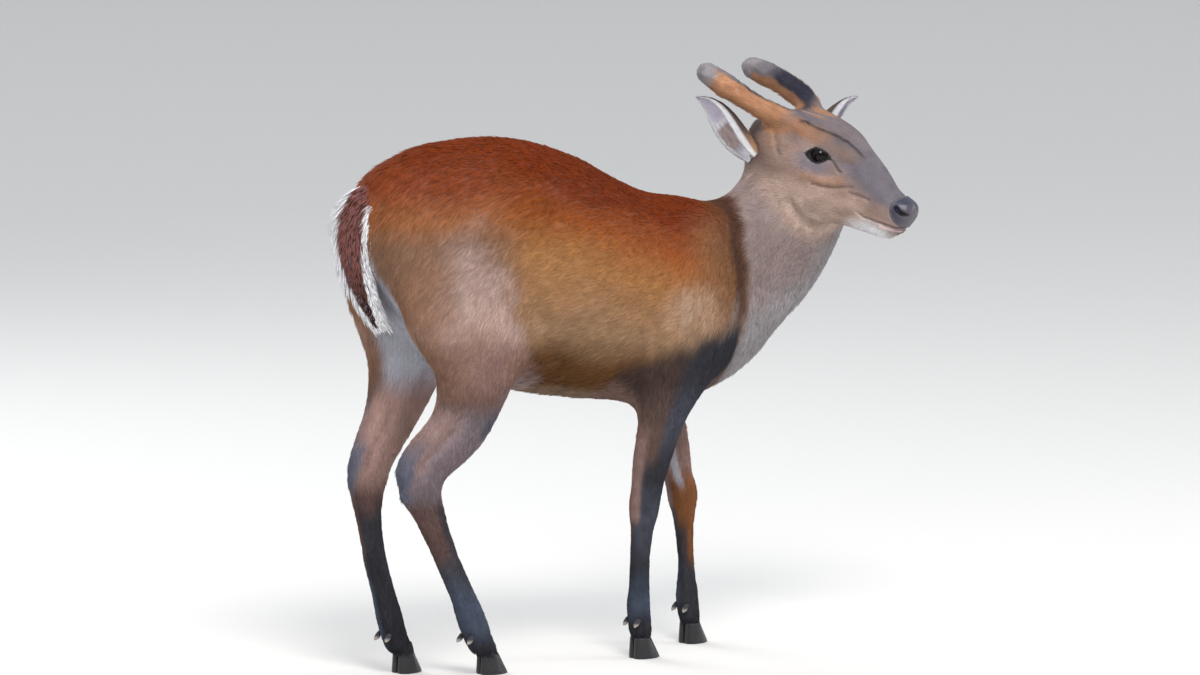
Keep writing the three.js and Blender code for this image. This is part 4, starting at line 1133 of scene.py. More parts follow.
# Coat of tufts.
def spread(points, faces, density):
    """Random places on a mesh, as many for each square metre as density says at each point."""
    corners = points[faces]
    if faces.shape[1] == 4:
        faces = np.vstack([faces[:, [0, 1, 2]], faces[:, [0, 2, 3]]])
        corners = points[faces]
    area = np.linalg.norm(np.cross(corners[:, 1] - corners[:, 0], corners[:, 2] - corners[:, 0]), axis=1) / 2
    wanted = area * density[faces].mean(axis=1)
    count = random.poisson(wanted)
    which = np.repeat(np.arange(len(faces)), count)
    a, b = random.random((2, len(which)))
    flip = a + b > 1
    a, b = np.where(flip, 1 - a, a), np.where(flip, 1 - b, b)
    weights = np.stack([1 - a - b, a, b], axis=1)
    return faces[which], weights


# Painted shading of each tuft: darker at the root corners, where the hair lies under other hair, and a little
# lighter at the tip.
TUFT_PAINTED_SHADING = np.array([0.84, 0.84, 0.95, 1.06])  # of the left, the right, the ridge and the tip


def tuft_mesh(name, roots, normals, lies, lengths, widths, lifts, tones):
    """Thin closed spikes: three points at the root and one at the tip."""
    across = unit(np.cross(normals, lies))
    sink = 0.25 * widths[:, None] * normals
    base = roots - sink
    left = base + across * widths[:, None] / 2
    right = base - across * widths[:, None] / 2
    ridge = base + normals * widths[:, None] * 0.8 - lies * widths[:, None]
    tip = roots + lengths[:, None] * unit(lies + normals * lifts[:, None])
    count = len(roots)
    points = np.stack([left, right, ridge, tip], axis=1).reshape(-1, 3)
    first = np.arange(count)[:, None] * 4
    faces = (first[:, :, None] + np.array([[0, 1, 2], [0, 3, 1], [1, 3, 2], [2, 3, 0]])[None]).reshape(-1, 3)
    mesh = mesh_of(name, points, faces)
    colours = (tones[:, None, :] * TUFT_PAINTED_SHADING[None, :, None]).reshape(-1, 3)
    write_colours(mesh, np.clip(colours, 0, 1))
    write_bake_map(mesh, roots, normals, faces)
    lean = np.stack([across * 0.5, across * -0.5, lies * -0.2, lies * 0.45], axis=1)
    shading = unit(normals[:, None, :] + lean).reshape(-1, 3)
    mesh.normals_split_custom_set_from_vertices(shading)
    return mesh


PATCH = 0.003  # size of a tuft's patch on the bake map


def box_unwrap(points, normals):
    """An unwrap of a piece's own shape: six views, one for each way that its surface faces, side by side."""
    low, high = points.min(axis=0), points.max(axis=0)
    share = (points - low) / np.maximum(high - low, 1e-6)
    axis = np.argmax(np.abs(normals), axis=1)
    front = np.take_along_axis(normals, axis[:, None], axis=1)[:, 0] > 0
    others = np.array([[1, 2], [0, 2], [0, 1]])[axis]
    uv = np.take_along_axis(share, others, axis=1) * 0.92 + 0.04
    return (uv + np.stack([axis, front.astype(float)], axis=1)) / (3, 2)


def write_bake_map(mesh, roots, normals, faces, corners=4):
    """Each tuft is a small patch at its root's place on the unwrap."""
    centre = box_unwrap(roots, normals)
    rise = np.linspace(-0.5, 0.5, corners)
    wide = np.tile([-0.5, 0.5, 0.0], corners)[:corners] * np.linspace(1, 0, corners)
    corner = np.stack([wide, rise], axis=1) * PATCH
    per_point = (centre[:, None, :] + corner[None]).reshape(-1, 2)
    layer = mesh.uv_layers.new(name="OFBake")
    layer.data.foreach_set("uv", per_point[faces.ravel()].astype(np.float32).ravel())


def nearest_node(points):
    """For each point, the number of the CAD node whose own points are nearest."""
    parts = [node_arrays(name)[0] for name in SKIN_NODES]
    owners = np.repeat(np.arange(len(parts)), [len(part) for part in parts])
    tree = KDTree(len(owners))
    for index, point in enumerate(np.vstack(parts)):
        tree.insert(point, index)
    tree.balance()
    return np.array([owners[tree.find(point)[1]] for point in points])


def tuft_width(length):
    return 0.00025 + 0.075 * length


COVER = 2.6  # layers of hair over each other
WANDER = 0.09  # how much each tuft strays from the lie of the hair


def grow_tufts(points, faces, normals, lie, length, lift, tone, cover, wander=WANDER):
    """Random tufts over a surface as arrays for tuft_mesh, with the first corner of each tuft's face.

    The cover is how many layers of hair lie over each other, for the surface or for each of its points.
    """
    density = cover / (length * tuft_width(length))
    corners, weights = spread(points, faces, density)

    def at(values):
        picked = values[corners]
        if values.ndim == 1:
            return np.sum(picked * weights, axis=1)
        return np.einsum("nkd,nk->nd", picked, weights)

    roots, n = at(points), unit(at(normals))
    count = len(roots)
    d = unit(at(lie)) + random.normal(0, 1, (count, 3)) * wander
    d = unit(d - np.sum(d * n, axis=1, keepdims=True) * n)
    sizes = at(length) * random.uniform(0.65, 1.2, count)
    own_tone = tone(roots, n) if callable(tone) else at(tone)
    return {
        "roots": roots, "normals": n, "lies": d, "lengths": sizes,
        "widths": tuft_width(sizes) * random.uniform(0.8, 1.25, count),
        "lifts": at(lift) * random.uniform(0.3, 1.7, count),
        "tones": own_tone * random.uniform(0.88, 1.12, count)[:, None],
    }, corners[:, 0]


def add_coat(name, tufts):
    add_piece(tuft_mesh(f"coat_{name}", **tufts), COAT_MATERIAL)


def make_coat(points, faces, normals):
    """Tufts all over the skin, in one piece for each part of the body."""
    lie, length, lift = coat_at(points)
    cover = COVER * (1 - bare_places(points)) * (1 - under_antlers(points))
    tufts, corner = grow_tufts(points, faces, normals, lie, length, lift, coat_colour, cover)
    owner = nearest_node(points)[corner]
    for name, chosen in coat_groups(owner, tufts["roots"]):
        add_coat(name, {key: values[chosen] for key, values in tufts.items()})


MOST_TUFTS = 49_000  # in one piece of the coat


def coat_groups(owner, roots):
    """Names and members of the coat's pieces. A part with too many tufts is split along the body."""
    for index, name in enumerate(SKIN_NODES):
        members = np.flatnonzero(owner == index)
        if len(members) == 0:
            continue
        parts = int(np.ceil(len(members) / MOST_TUFTS))
        order = members[np.argsort(roots[members, 0], kind="stable")]
        for number, chosen in enumerate(np.array_split(order, parts)):
            yield (name if parts == 1 else f"{name}_{number + 1}"), chosen


def under_antlers(points):
    """1 where the skin is hidden by the velvet."""
    h = to_head(to_design(points))
    hidden = np.zeros(len(points))
    for line in HORN_LINES.values():
        away, share = line_distance(h, line)
        hidden = np.maximum(hidden, smooth(0.76, 0.80, share) * (away < 22))
    return hidden


def glossy_places(points):
    """1 on the wet pad of the nose, less on the lips."""
    q = head_side(points)
    near_nose = oval(q, (110, 0, -25), (45, 45, 45)) < 1
    gloss = np.zeros(len(q))
    own = q[near_nose]
    dry = near(own, (122, 16, -17.5), (9, 9, 7))
    lip = along_line(own, FACE_LINES["lower_lip"], 1.5, 1)
    gloss[near_nose] = np.maximum(nose_pad(own) * (1 - dry), 0.5 * lip)
    return gloss


BARE_LINES = [("mouth", 0.8), ("lower_lip", 1.5), ("tear", 1.2)]  # with the half width of each


def bare_places(points):
    """1 where no hair grows: the nose pad, the lips, the slit by the eye and the open eyes."""
    q = head_side(points)
    near_head = oval(q, HEAD_MIDDLE, FACE_HALF) < 1
    bare = np.zeros(len(q))
    own = q[near_head]
    eye = smooth(1.25, 1.1, eye_level(own)) * (own[:, 1] > EYE_INNER)
    lines = [along_line(own, FACE_LINES[name], width, 1) for name, width in BARE_LINES]
    bare[near_head] = np.maximum.reduce([nose_pad(own), eye, *lines])
    return bare


# Materials.
def set_inputs(node, **values):
    """Set inputs of a node, each named with _ for a space."""
    for name, value in values.items():
        node.inputs[name.replace("_", " ")].default_value = value


class Shader:
    """A new material with short ways to add and join its nodes."""

    def __init__(self, name):
        self.material = bpy.data.materials.new(name)
        self.material.use_nodes = True
        self.tree = self.material.node_tree
        self.main = self.tree.nodes["Principled BSDF"]

    def add(self, kind, **values):
        node = self.tree.nodes.new("ShaderNode" + kind)
        set_inputs(node, **values)
        return node

    def join(self, node, output, target, name):
        self.tree.links.new(node.outputs[output], target.inputs[name])

    def stored(self, name):
        """A value or colour stored on the mesh."""
        node = self.add("Attribute")
        node.attribute_name = name
        return node

    def texture(self, kind, **values):
        """A texture laid out in space."""
        node = self.add("Tex" + kind, **values)
        self.join(self.add("NewGeometry"), "Position", node, "Vector")
        return node

    def between(self, node, output, low, high):
        """A value from 0 to 1 spread between two others."""
        spread_out = self.add("MapRange", To_Min=low, To_Max=high)
        self.join(node, output, spread_out, "Value")
        return spread_out

    def bump(self, node, output, strength, depth):
        relief = self.add("Bump", Strength=strength, Distance=depth)
        self.join(node, output, relief, "Height")
        self.join(relief, "Normal", self.main, "Normal")


def coat_shader(name):
    """Hair: the stored colour with fine streaks, and a soft sheen."""
    shader = Shader(name)
    streaks = shader.between(shader.texture("Noise", Scale=900.0, Detail=2.0), "Fac", 0.72, 1.28)
    blend = shader.add("VectorMath")
    blend.operation = "SCALE"
    shader.join(shader.stored("tone"), "Color", blend, 0)
    shader.join(streaks, "Result", blend, "Scale")
    shader.join(blend, "Vector", shader.main, "Base Color")
    set_inputs(shader.main, Roughness=0.6, Specular_IOR_Level=0.08, Sheen_Weight=0.015, Sheen_Roughness=0.4)
    return shader


COAT_MATERIAL = coat_shader("coat").material


# Long locks of the tail.
LOCK_STATIONS = np.array([0.0, 0.35, 0.7])
LOCK_WIDTHS = np.array([0.7, 1.0, 0.75])
# Painted shading of each lock: darker at the root, where it lies under other locks.
LOCK_PAINTED_SHADING = [0.72, 0.92, 1.0, 1.0]


def lock_mesh(name, roots, normals, lies, lengths, widths, bends, tones):
    """Long curved tapered locks: three rings of three points along the length, and a point at the tip."""
    across = unit(np.cross(normals, lies))
    rings = []
    for t, wide in zip(LOCK_STATIONS, LOCK_WIDTHS):
        centre = roots + lengths[:, None] * (lies * t + bends * t * t)
        half = widths[:, None] * wide / 2
        rings += [centre - across * half, centre + across * half, centre + normals * half * 0.7]
    rings.append(roots + lengths[:, None] * (lies + bends))
    points = np.stack(rings, axis=1).reshape(-1, 3)
    one = [[0, 1, 2]]
    for base in (0, 3):
        for k in range(3):
            a, b = base + k, base + (k + 1) % 3
            one += [[a, a + 3, b], [b, a + 3, b + 3]]
    one += [[6, 9, 7], [7, 9, 8], [8, 9, 6]]
    faces = (np.arange(len(roots))[:, None, None] * 10 + np.array(one)[None]).reshape(-1, 3)
    mesh = mesh_of(name, points, faces)
    shade = np.repeat(LOCK_PAINTED_SHADING, [3, 3, 3, 1])
    write_colours(mesh, np.clip((tones[:, None, :] * shade[None, :, None]).reshape(-1, 3), 0, 1))
    write_bake_map(mesh, roots, normals, faces, 10)
    return mesh


TAIL_LOCKS = 2600
TAIL_LOCK_WIDTH = 0.0022
TAIL_CORE = 0.85  # the locks are rooted at this share of the tail's half sizes
TAIL_TWIST = math.radians(-34)  # the tail is turned a little towards the right
# How wide the tail's dark middle is, as a share of its half width, at shares of its length.
DARK_MIDDLE = np.array([
    (0.0, 0.72), (0.1, 0.8), (0.4, 0.8), (0.62, 0.66), (0.8, 0.5), (0.92, 0.3), (1.0, 0.0),
])


def tail_tone(side_share, behind, t):
    """Maroon middle that narrows to a dark point, between white sides; white beneath."""
    dark = np.interp(t, DARK_MIDDLE[:, 0], DARK_MIDDLE[:, 1])
    middle = smooth(dark + 0.06, dark - 0.06, np.abs(side_share)) * (behind > 0)
    shade = mix(plain(MAROON, len(t)), MAROON_DARK, smooth(0.5, 0.9, t))
    return mix(plain(WHITE, len(t)), shade, middle)


def tail_roots(t, angle):
    """Places round the tail, with the ways along it and out of it there, in the design frame."""
    rows = resampled(TAIL, 24)
    which = (t * (len(rows) - 6)).astype(int)
    row = rows[which]
    along = unit(np.gradient(rows[:, :3], axis=0))[which]
    back = -unit(np.cross(along, SIDEWAYS))
    back = back * -np.sign(back[:, :1])
    up, out = np.cos(angle), np.sin(angle)
    normals = unit(back * up[:, None] / row[:, 3, None] + SIDEWAYS * out[:, None] / row[:, 4, None])
    roots = row[:, :3] + back * (row[:, 3] * TAIL_CORE * up)[:, None]
    return roots + SIDEWAYS * (row[:, 4] * TAIL_CORE * out)[:, None], along, normals


def make_tail():
    """Locks round the whole tail: maroon down its back, and long white ones that flare at its edges."""
    t = random.random(TAIL_LOCKS) ** 0.85
    angle = random.uniform(0, 2 * np.pi, TAIL_LOCKS)
    roots, along, normals = tail_roots(t, angle)
    share = np.sin(angle - TAIL_TWIST)
    edge = np.abs(share) ** 3
    flare = (0.55 * (1 - 0.5 * t) * edge)[:, None]
    lies = unit(along + SIDEWAYS * np.sign(share)[:, None] * flare + normals * 0.10)
    lies = unit(lies + random.normal(0, 0.06, lies.shape))
    lengths = (18 + 16 * edge * (1 - 0.45 * t)) * random.uniform(0.7, 1.1, TAIL_LOCKS) * (1 - 0.35 * t)
    bends = along * 0.25 * edge[:, None] - SIDEWAYS * (np.sign(share) * 0.12 * edge)[:, None]
    tone = tail_tone(share, np.cos(angle - TAIL_TWIST), t) * random.uniform(0.85, 1.05, TAIL_LOCKS)[:, None]
    widths = np.full(TAIL_LOCKS, TAIL_LOCK_WIDTH)
    mesh = lock_mesh("coat_tail_locks", to_row(roots), normals, lies, lengths * MM, widths, bends, tone)
    add_piece(mesh, COAT_MATERIAL)


# Ears: thin cups that open to one side, from root to tip, in the head's frame. The bow is how far the
# middle line bends across, and the outline is the share of the half width at shares of the length.
EARS = {
    "right": {"root": (-65.6, -37.4, -23.3), "tip": (-149, -62, 14.5), "opens": (-0.35, -0.7, -0.62),
              "bow": -3.0},
    "left": {"root": (-42, 37, -20), "tip": (-27, 104, 62), "opens": (0.85, -0.15, -0.5), "bow": 15.0},
}
EAR = {"half": 26.0, "wall": 1.8, "rows": 60, "across": 41, "wrap": (110.0, 45.0)}
EAR_OUTLINE = np.array([
    (0, 0.45), (0.12, 0.62), (0.3, 0.86), (0.5, 1), (0.68, 0.93), (0.82, 0.68), (0.93, 0.36), (1, 0.05),
])


def ear_axes(ear):
    root, tip = np.array(ear["root"], float), np.array(ear["tip"], float)
    along = unit(tip - root)
    opens = np.array(ear["opens"])
    opens = unit(opens - along * (opens @ along))
    return root, tip, along, opens, np.cross(along, opens)


def ear_sheet(ear, inward):
    """Grid of points of one side of the cup, from root to tip and from edge to edge, in the head's frame."""
    root, tip, _, opens, across = ear_axes(ear)
    t = np.linspace(0, 1, EAR["rows"])[:, None]
    s = np.linspace(-1, 1, EAR["across"])[None, :]
    shape = resampled(EAR_OUTLINE, 8)
    half = EAR["half"] * np.interp(t, shape[:, 0], shape[:, 1])
    wrap = np.radians(EAR["wrap"][0] + (EAR["wrap"][1] - EAR["wrap"][0]) * t)
    ribs = 0.5 * np.cos(s * 9.0) * np.sin(np.pi * t) * inward
    radius = half / np.sin(np.minimum(wrap, np.pi / 2))
    inner = radius - inward * EAR["wall"] * (1.3 - 0.9 * t) + ribs
    angle = wrap * s
    centre = root + (tip - root) * t[..., None] + across * (ear["bow"] * np.sin(np.pi * t))[..., None]
    return centre + across * (inner * np.sin(angle))[..., None] \
        + opens * (radius * 0.35 - inner * np.cos(angle))[..., None]


def grid_faces(rows, columns, start=0):
    k, i = np.meshgrid(np.arange(rows - 1), np.arange(columns - 1), indexing="ij")
    a = start + (k * columns + i).ravel()
    return np.stack([a, a + 1, a + columns + 1, a + columns], axis=1)


def ear_faces(rows, columns):
    """Quads of the outer sheet, the inner sheet, and the rim that joins them."""
    half = rows * columns
    rim = np.concatenate([
        np.arange(columns), np.arange(1, rows) * columns + columns - 1,
        (rows - 1) * columns + np.arange(columns - 2, -1, -1), np.arange(rows - 2, 0, -1) * columns])
    nxt = np.roll(rim, -1)
    return np.vstack([grid_faces(rows, columns), grid_faces(rows, columns, half)[:, ::-1],
                      np.stack([nxt, rim, rim + half, nxt + half], axis=1)])


def ear_tones(s, t):
    """Colours of the brown back, then of the inside: lilac with a tan lobe and white edges."""
    back = mix(EAR_ROOT, EAR_BACK, smooth(0.08, 0.34, t))
    back = mix(back, WHITE * 0.7, smooth(0.70, 0.84, np.abs(s)) * smooth(1.0, 0.8, t) * 0.9)
    lobe = smooth(0.14, 0.24, t) * smooth(0.54, 0.47, t + 0.05 * s) * smooth(0.5, 0.2, s)
    inside = mix(plain(EAR_INSIDE, len(t)), EAR_LOBE, lobe)
    fold = smooth(0.05, 0.02, np.abs(t - 0.54 + 0.05 * s))
    bright = np.maximum.reduce([smooth(0.42, 0.62, s) * smooth(0.85, 0.6, t), fold,
                                smooth(0.88, 0.97, np.abs(s)), smooth(0.2, 0.08, t)])
    return np.clip(np.vstack([back, mix(inside, WHITE, bright * 0.85)]), 0, 1)


def make_ear(word):
    ear = EARS[word]
    rows, columns = EAR["rows"], EAR["across"]
    sheets = [ear_sheet(ear, inward).reshape(-1, 3) for inward in (0.0, 1.0)]
    points = to_row(from_head(np.vstack(sheets)))
    faces = ear_faces(rows, columns)
    normals = point_normals(points, faces)
    _, _, along, opens, across = (HEAD_AXES @ v for v in ear_axes(ear))
    if np.mean(normals[:rows * columns] @ opens) > 0:
        faces, normals = faces[:, ::-1], -normals
    t = np.repeat(np.linspace(0, 1, rows), columns)
    s = np.tile(np.linspace(-1, 1, columns), rows)
    tones = ear_tones(s * -SIDES[word], t)
    mesh = mesh_of(f"ear_cup_{word}", points, faces)
    write_colours(mesh, tones)
    add_piece(mesh, SKIN_MATERIAL, [f"ear_{word}"])
    ear_coat(word, points, faces, normals, tones, along, across, t, s)


EAR_HAIR = {
    "back": {"length": 0.0045, "lift": 0.12, "cover": 2.2},
    "inside": {"length": 0.006, "lift": 0.22, "cover": 0.7, "edge_cover": 1.3},
    "wander": 0.12,
}


def ear_coat(word, points, faces, normals, tones, along, across, t, s):
    """Short hair on the ear's back, long pale hair from the edges over its inside."""
    count = len(t)
    lie = np.vstack([np.tile(along, (count, 1)), along - across * (s * 0.55)[:, None]])
    back, inside = EAR_HAIR["back"], EAR_HAIR["inside"]
    length = np.concatenate([np.full(count, back["length"]), inside["length"] * (1 + np.abs(s) * (1 - t))])
    lift = np.repeat([back["lift"], inside["lift"]], count)
    inside_cover = inside["cover"] + inside["edge_cover"] * smooth(0.6, 0.95, np.abs(s))
    cover = np.concatenate([np.full(count, back["cover"]), inside_cover])
    tufts, _ = grow_tufts(points, faces, normals, lie, length, lift, tones, cover, EAR_HAIR["wander"])
    add_coat(f"ear_{word}", tufts)


# Antlers in velvet.
VELVET_VOXEL = 0.0012
VELVET_CALM = (0.45, 14)  # weight and rounds of smoothing
VELVET_HAIR = {"length": 0.0026, "lift": 0.5, "cover": 1.2, "wander": 0.25}
VELVET_RELIEF = {"coarse": 5.0, "fine": 2.2, "height": 0.0007, "rise": 0.0002, "sunk": 0.0016}


def make_antler(word):
    points, faces = voxel_skin([grown(f"antler_{word}")], VELVET_VOXEL)
    points = calmed(points, faces, *VELVET_CALM)
    normals = point_normals(points, faces)
    relief, hair, count = VELVET_RELIEF, VELVET_HAIR, len(points)
    coarse, fine = noise(points / MM, relief["coarse"], 21), noise(points / MM, relief["fine"], 22)
    bumps = coarse - 0.5 + 0.5 * (fine - 0.5)
    _, share = line_distance(to_head(to_design(points)), HORN_LINES[word])
    edge = 1 - smooth(0.74, 0.82, share)
    rise = bumps * relief["height"] + relief["rise"] - relief["sunk"] * edge
    points = points + normals * rise[:, None]
    tones = horn_colour(plain(VELVET, count), to_design(points))
    tones = tones * (0.85 + 0.3 * noise(points / MM, 7.0, 23))[:, None]
    mesh = mesh_of(f"velvet_{word}", points, faces)
    write_colours(mesh, tones)
    add_piece(mesh, SKIN_MATERIAL, [f"antler_{word}"])
    out = HEAD_AXES @ np.array([-0.96, 0.25 * SIDES[word], 0.1])
    length, lift = np.full(count, hair["length"]), np.full(count, hair["lift"])
    tufts, _ = grow_tufts(points, faces, normals, plain(out, count), length, lift, tones, hair["cover"],
                          hair["wander"])
    add_coat(f"antler_{word}", tufts)


# Eyes.
CORNEA = {"bulge": 0.045, "reach": 0.62}


def make_eye(word):
    """An eyeball with a bulging cornea."""
    side = SIDES[word]
    rings, around = 40, 64
    polar = np.linspace(0.02, np.pi - 0.02, rings)[:, None]
    turn = np.linspace(0, 2 * np.pi, around, endpoint=False)[None]
    bulge = 1 + CORNEA["bulge"] * np.exp(-(polar / CORNEA["reach"]) ** 4)
    ring = np.sin(polar)
    ball = np.stack([ring * np.cos(turn), np.cos(polar) + 0 * turn, ring * np.sin(turn)], axis=2)
    ball = ball * (bulge * (EYE_RADIUS - 0.3))[..., None]
    points, faces = rings_mesh(ball)
    points = from_head((points + EYE) * (1, side, 1))
    mesh = mesh_of(f"eyeball_{word}", to_row(points), faces if side > 0 else faces[:, ::-1])
    write_values(mesh, np.concatenate([np.repeat(polar.ravel(), around), [0.0, np.pi]]), "polar")
    add_piece(mesh, EYE_MATERIAL, [f"eye_{word}"])


def lid_outline(count):
    """Almond outline of the open eye in x and z, from the eye's middle."""
    angle = np.linspace(0, 2 * np.pi, count, endpoint=False)
    u = LID["length"] * np.cos(angle)
    v = LID["height"] * np.sin(angle) * (1 - 0.3 * np.cos(angle) ** 2)
    tilt = math.radians(LID["tilt"])
    return u * np.cos(tilt) - v * np.sin(tilt), u * np.sin(tilt) + v * np.cos(tilt), angle


def make_lids(word):
    """The bare dark edges of both lids, lying on the eyeball."""
    side = SIDES[word]
    count, around = 96, 12
    x, z, angle = lid_outline(count)
    ball = EYE_RADIUS + 0.25
    y = np.sqrt(np.maximum(ball ** 2 - x ** 2 - z ** 2, LID["opening"] ** 2))
    path = np.stack([x, y, z], axis=1) + EYE
    along = unit(np.roll(path, -1, axis=0) - np.roll(path, 1, axis=0))
    outward = unit(path - EYE)
    across = unit(np.cross(outward, along))
    k = np.linspace(0, 2 * np.pi, around, endpoint=False)
    size = LID["radius"] * (1 + 0.25 * np.sin(angle))
    rings = path[:, None] + across[:, None] * (size[:, None] * np.cos(k) * 1.1)[..., None] \
        + outward[:, None] * (size[:, None] * np.sin(k) * 0.75)[..., None]
    points = to_row(from_head(rings.reshape(-1, 3) * (1, side, 1)))
    here = np.arange(count * around).reshape(count, around)
    after, ahead = np.roll(here, -1, axis=1), np.roll(here, -1, axis=0)
    faces = np.stack([here, after, np.roll(ahead, -1, axis=1), ahead], axis=-1).reshape(-1, 4)
    top = point_normals(points, faces).reshape(count, around, 3)[:, around // 4]
    if np.sum(top * ((outward * (1, side, 1)) @ HEAD_AXES.T)) < 0:
        faces = faces[:, ::-1]
    add_piece(mesh_of(f"lids_{word}", points, faces), LID_MATERIAL)


# Hooves.
# Place of each foot on the ground, and the way that it points in degrees.
FEET = {
    "hind_right": (-171, -31, -6), "hind_left": (-244, 33, 4),
    "fore_right": (41, -32, -5), "fore_left": (157, 32, 5),
}
HOOF = {"height": 24.0, "between": 1.6, "middle": 6.5, "lean": 13.0, "heel": 1.4, "narrow": 0.16}
# Claw seen from above: u forward, v away from the inner face, at the ground.
CLAW = np.array([
    (-17.5, 3.0), (-16.5, 8.0), (-12.0, 12.2), (-5.0, 13.6), (3.0, 13.0), (10.0, 10.0), (15.0, 6.0),
    (18.4, 2.2), (18.6, 0.8), (14.0, 0.2), (6.0, 0.0), (-3.0, 0.0), (-11.0, 0.2), (-16.0, 0.8),
])


def closed_curve(corners, count):
    """A smooth closed curve through corners, evenly spaced."""
    around = np.vstack([corners[-1:], corners, corners[:2]])
    fine = resampled(around, 12)[12:-12]
    steps = np.concatenate([[0], np.cumsum(np.linalg.norm(np.diff(fine, axis=0), axis=1))])
    wanted = np.linspace(0, steps[-1], count, endpoint=False)
    return np.stack([np.interp(wanted, steps, fine[:, k]) for k in range(fine.shape[1])], axis=1)


def claw_rings(levels=26, around=48):
    outline = closed_curve(CLAW, around)
    rings = []
    for t in np.linspace(0, 1, levels):
        z = HOOF["height"] * t
        front = smooth(-10, 18, outline[:, 0])
        ripple = 0.18 * math.sin(t * 40.0) * (0.3 + 0.7 * front) * (t > 0.08)
        inset = 0.9 * math.exp(-t * 28)
        u = outline[:, 0] - HOOF["lean"] * t * front + HOOF["heel"] * t * (1 - front)
        v = (outline[:, 1] - HOOF["middle"]) * (1 - HOOF["narrow"] * t * t) + HOOF["middle"]
        centre = np.array([u.mean(), HOOF["middle"]])
        away = np.stack([u, v], axis=1) - centre
        far = np.linalg.norm(away, axis=1, keepdims=True)
        placed = centre + away * (1 + (ripple[:, None] - inset) / np.maximum(far, 1e-6))
        rings.append(np.column_stack([placed, np.full(around, z)]))
    return np.array(rings)


def make_hoof(leg, word):
    x, y, heading = FEET[leg]
    outer = SIDES[leg.split("_")[1]]
    side = outer if word == "outer" else -outer
    points, faces = rings_mesh(claw_rings())
    points = points * (1, side, 1) + (0, side * HOOF["between"] / 2, 0)
    turn = turn_matrix(heading, 0, 0)
    points = points @ turn.T + (x, y, 0)
    mesh = mesh_of(f"claw_{leg}_{word}", to_row(points), faces if side > 0 else faces[:, ::-1])
    add_piece(mesh, HORN_MATERIAL, [f"hoof_{leg}_{word}"])


CORONET_LOCKS = 420
CORONET_WIDTH = 0.0011
CORONET_HEIGHT = 30.0  # where the hair that falls over the hooves starts


def make_coronet(leg):
    """Short hair round the end of the leg that falls over the top of the hooves."""
    row = np.array(next(row for row in LEG_ROWS[leg] if row[0] < 30), float)
    angle = random.uniform(0, math.tau, CORONET_LOCKS)
    height = CORONET_HEIGHT + random.uniform(-3, 6, CORONET_LOCKS)
    outward = np.column_stack([np.cos(angle), np.sin(angle), np.zeros(CORONET_LOCKS)])
    middle = row[1:3] + np.array([-0.25, 0.0]) * (height[:, None] - row[0])
    roots = np.column_stack([middle + outward[:, :2] * (row[3:5] - 2.2), height])
    lies = np.tile((0.12, 0, -1), (CORONET_LOCKS, 1)) + outward * 0.10 + random.normal(0, 0.05, outward.shape)
    lengths = random.uniform(7, 11, CORONET_LOCKS)
    tone = SLATE * 0.75 * random.uniform(0.8, 1.2, CORONET_LOCKS)[:, None]
    widths = np.full(CORONET_LOCKS, CORONET_WIDTH)
    bends = np.zeros_like(lies)
    mesh = lock_mesh(f"coronet_{leg}", to_row(roots), outward, unit(lies), lengths * MM, widths, bends, tone)
    add_piece(mesh, COAT_MATERIAL)


SPUR_VOXEL = 0.0008
SPUR_CALM = (0.5, 16)  # weight and rounds of smoothing


def make_dewclaw(leg, word):
    """A small horny cone, finer than the solid that it stands for."""
    points, faces = voxel_skin([node_arrays(f"dewclaw_{leg}_{word}")], SPUR_VOXEL)
    points = calmed(points, faces, *SPUR_CALM)
    mesh = mesh_of(f"spur_{leg}_{word}", points, faces)
    down = (points[:, 2].max() - points[:, 2]) / np.ptp(points[:, 2])
    write_colours(mesh, mix(plain(SLATE * 0.8, len(points)), SPUR_TIP, smooth(0.45, 0.8, down)))
    add_piece(mesh, SKIN_MATERIAL, [f"dewclaw_{leg}_{word}"])


def dark_material(name, tint, roughness, bump, scale):
    """A dark bare surface with fine relief."""
    shader = Shader(name)
    fine = shader.texture("Noise", Scale=scale, Detail=4.0)
    blend = shader.add("Mix")
    blend.data_type = "RGBA"
    blend.inputs[6].default_value = (*(tint * 0.6), 1)
    blend.inputs[7].default_value = (*(tint * 1.5), 1)
    shader.join(fine, "Fac", blend, "Factor")
    shader.join(blend, 2, shader.main, "Base Color")
    shader.bump(fine, "Fac", bump, 0.0006)
    set_inputs(shader.main, Roughness=roughness)
    return shader.material


# Colours of the eye by the angle from its front: the pupil, the iris and the dark edge.
EYE_STOPS = [
    (0.10, (0.001, 0.001, 0.0015, 1)),
    (0.22, (0.007, 0.004, 0.003, 1)),
    (0.30, (0.002, 0.0015, 0.0015, 1)),
]


def eye_material():
    """Black-brown eye under a clear glossy surface."""
    shader = Shader("eye")
    stops = shader.add("ValToRGB")
    elements = stops.color_ramp.elements
    for index, (place, tint) in enumerate(EYE_STOPS):
        element = elements[index] if index < 2 else elements.new(place)
        element.position = place
        element.color = tint
    shader.join(shader.stored("polar"), "Fac", stops, "Fac")
    shader.join(stops, "Color", shader.main, "Base Color")
    set_inputs(shader.main, Roughness=0.05, Specular_IOR_Level=0.22)
    return shader.material


def skin_material():
    """Short hair and bare skin, finely pebbled, and smoother where it is wet."""
    shader = coat_shader("skin")
    gloss = shader.between(shader.stored("gloss"), "Fac", 0.65, 0.25)
    shader.join(gloss, "Result", shader.main, "Roughness")
    shader.bump(shader.texture("Voronoi", Scale=620.0), "Distance", 0.45, 0.0004)
    set_inputs(shader.main, Specular_IOR_Level=0.3)
    return shader.material


SKIN_MATERIAL = skin_material()
EYE_MATERIAL = eye_material()
LID_MATERIAL = dark_material("eyelid", colour(14, 12, 14), 0.6, 0.3, 700.0)
HORN_MATERIAL = dark_material("horn", colour(27, 26, 29), 0.42, 0.5, 260.0)


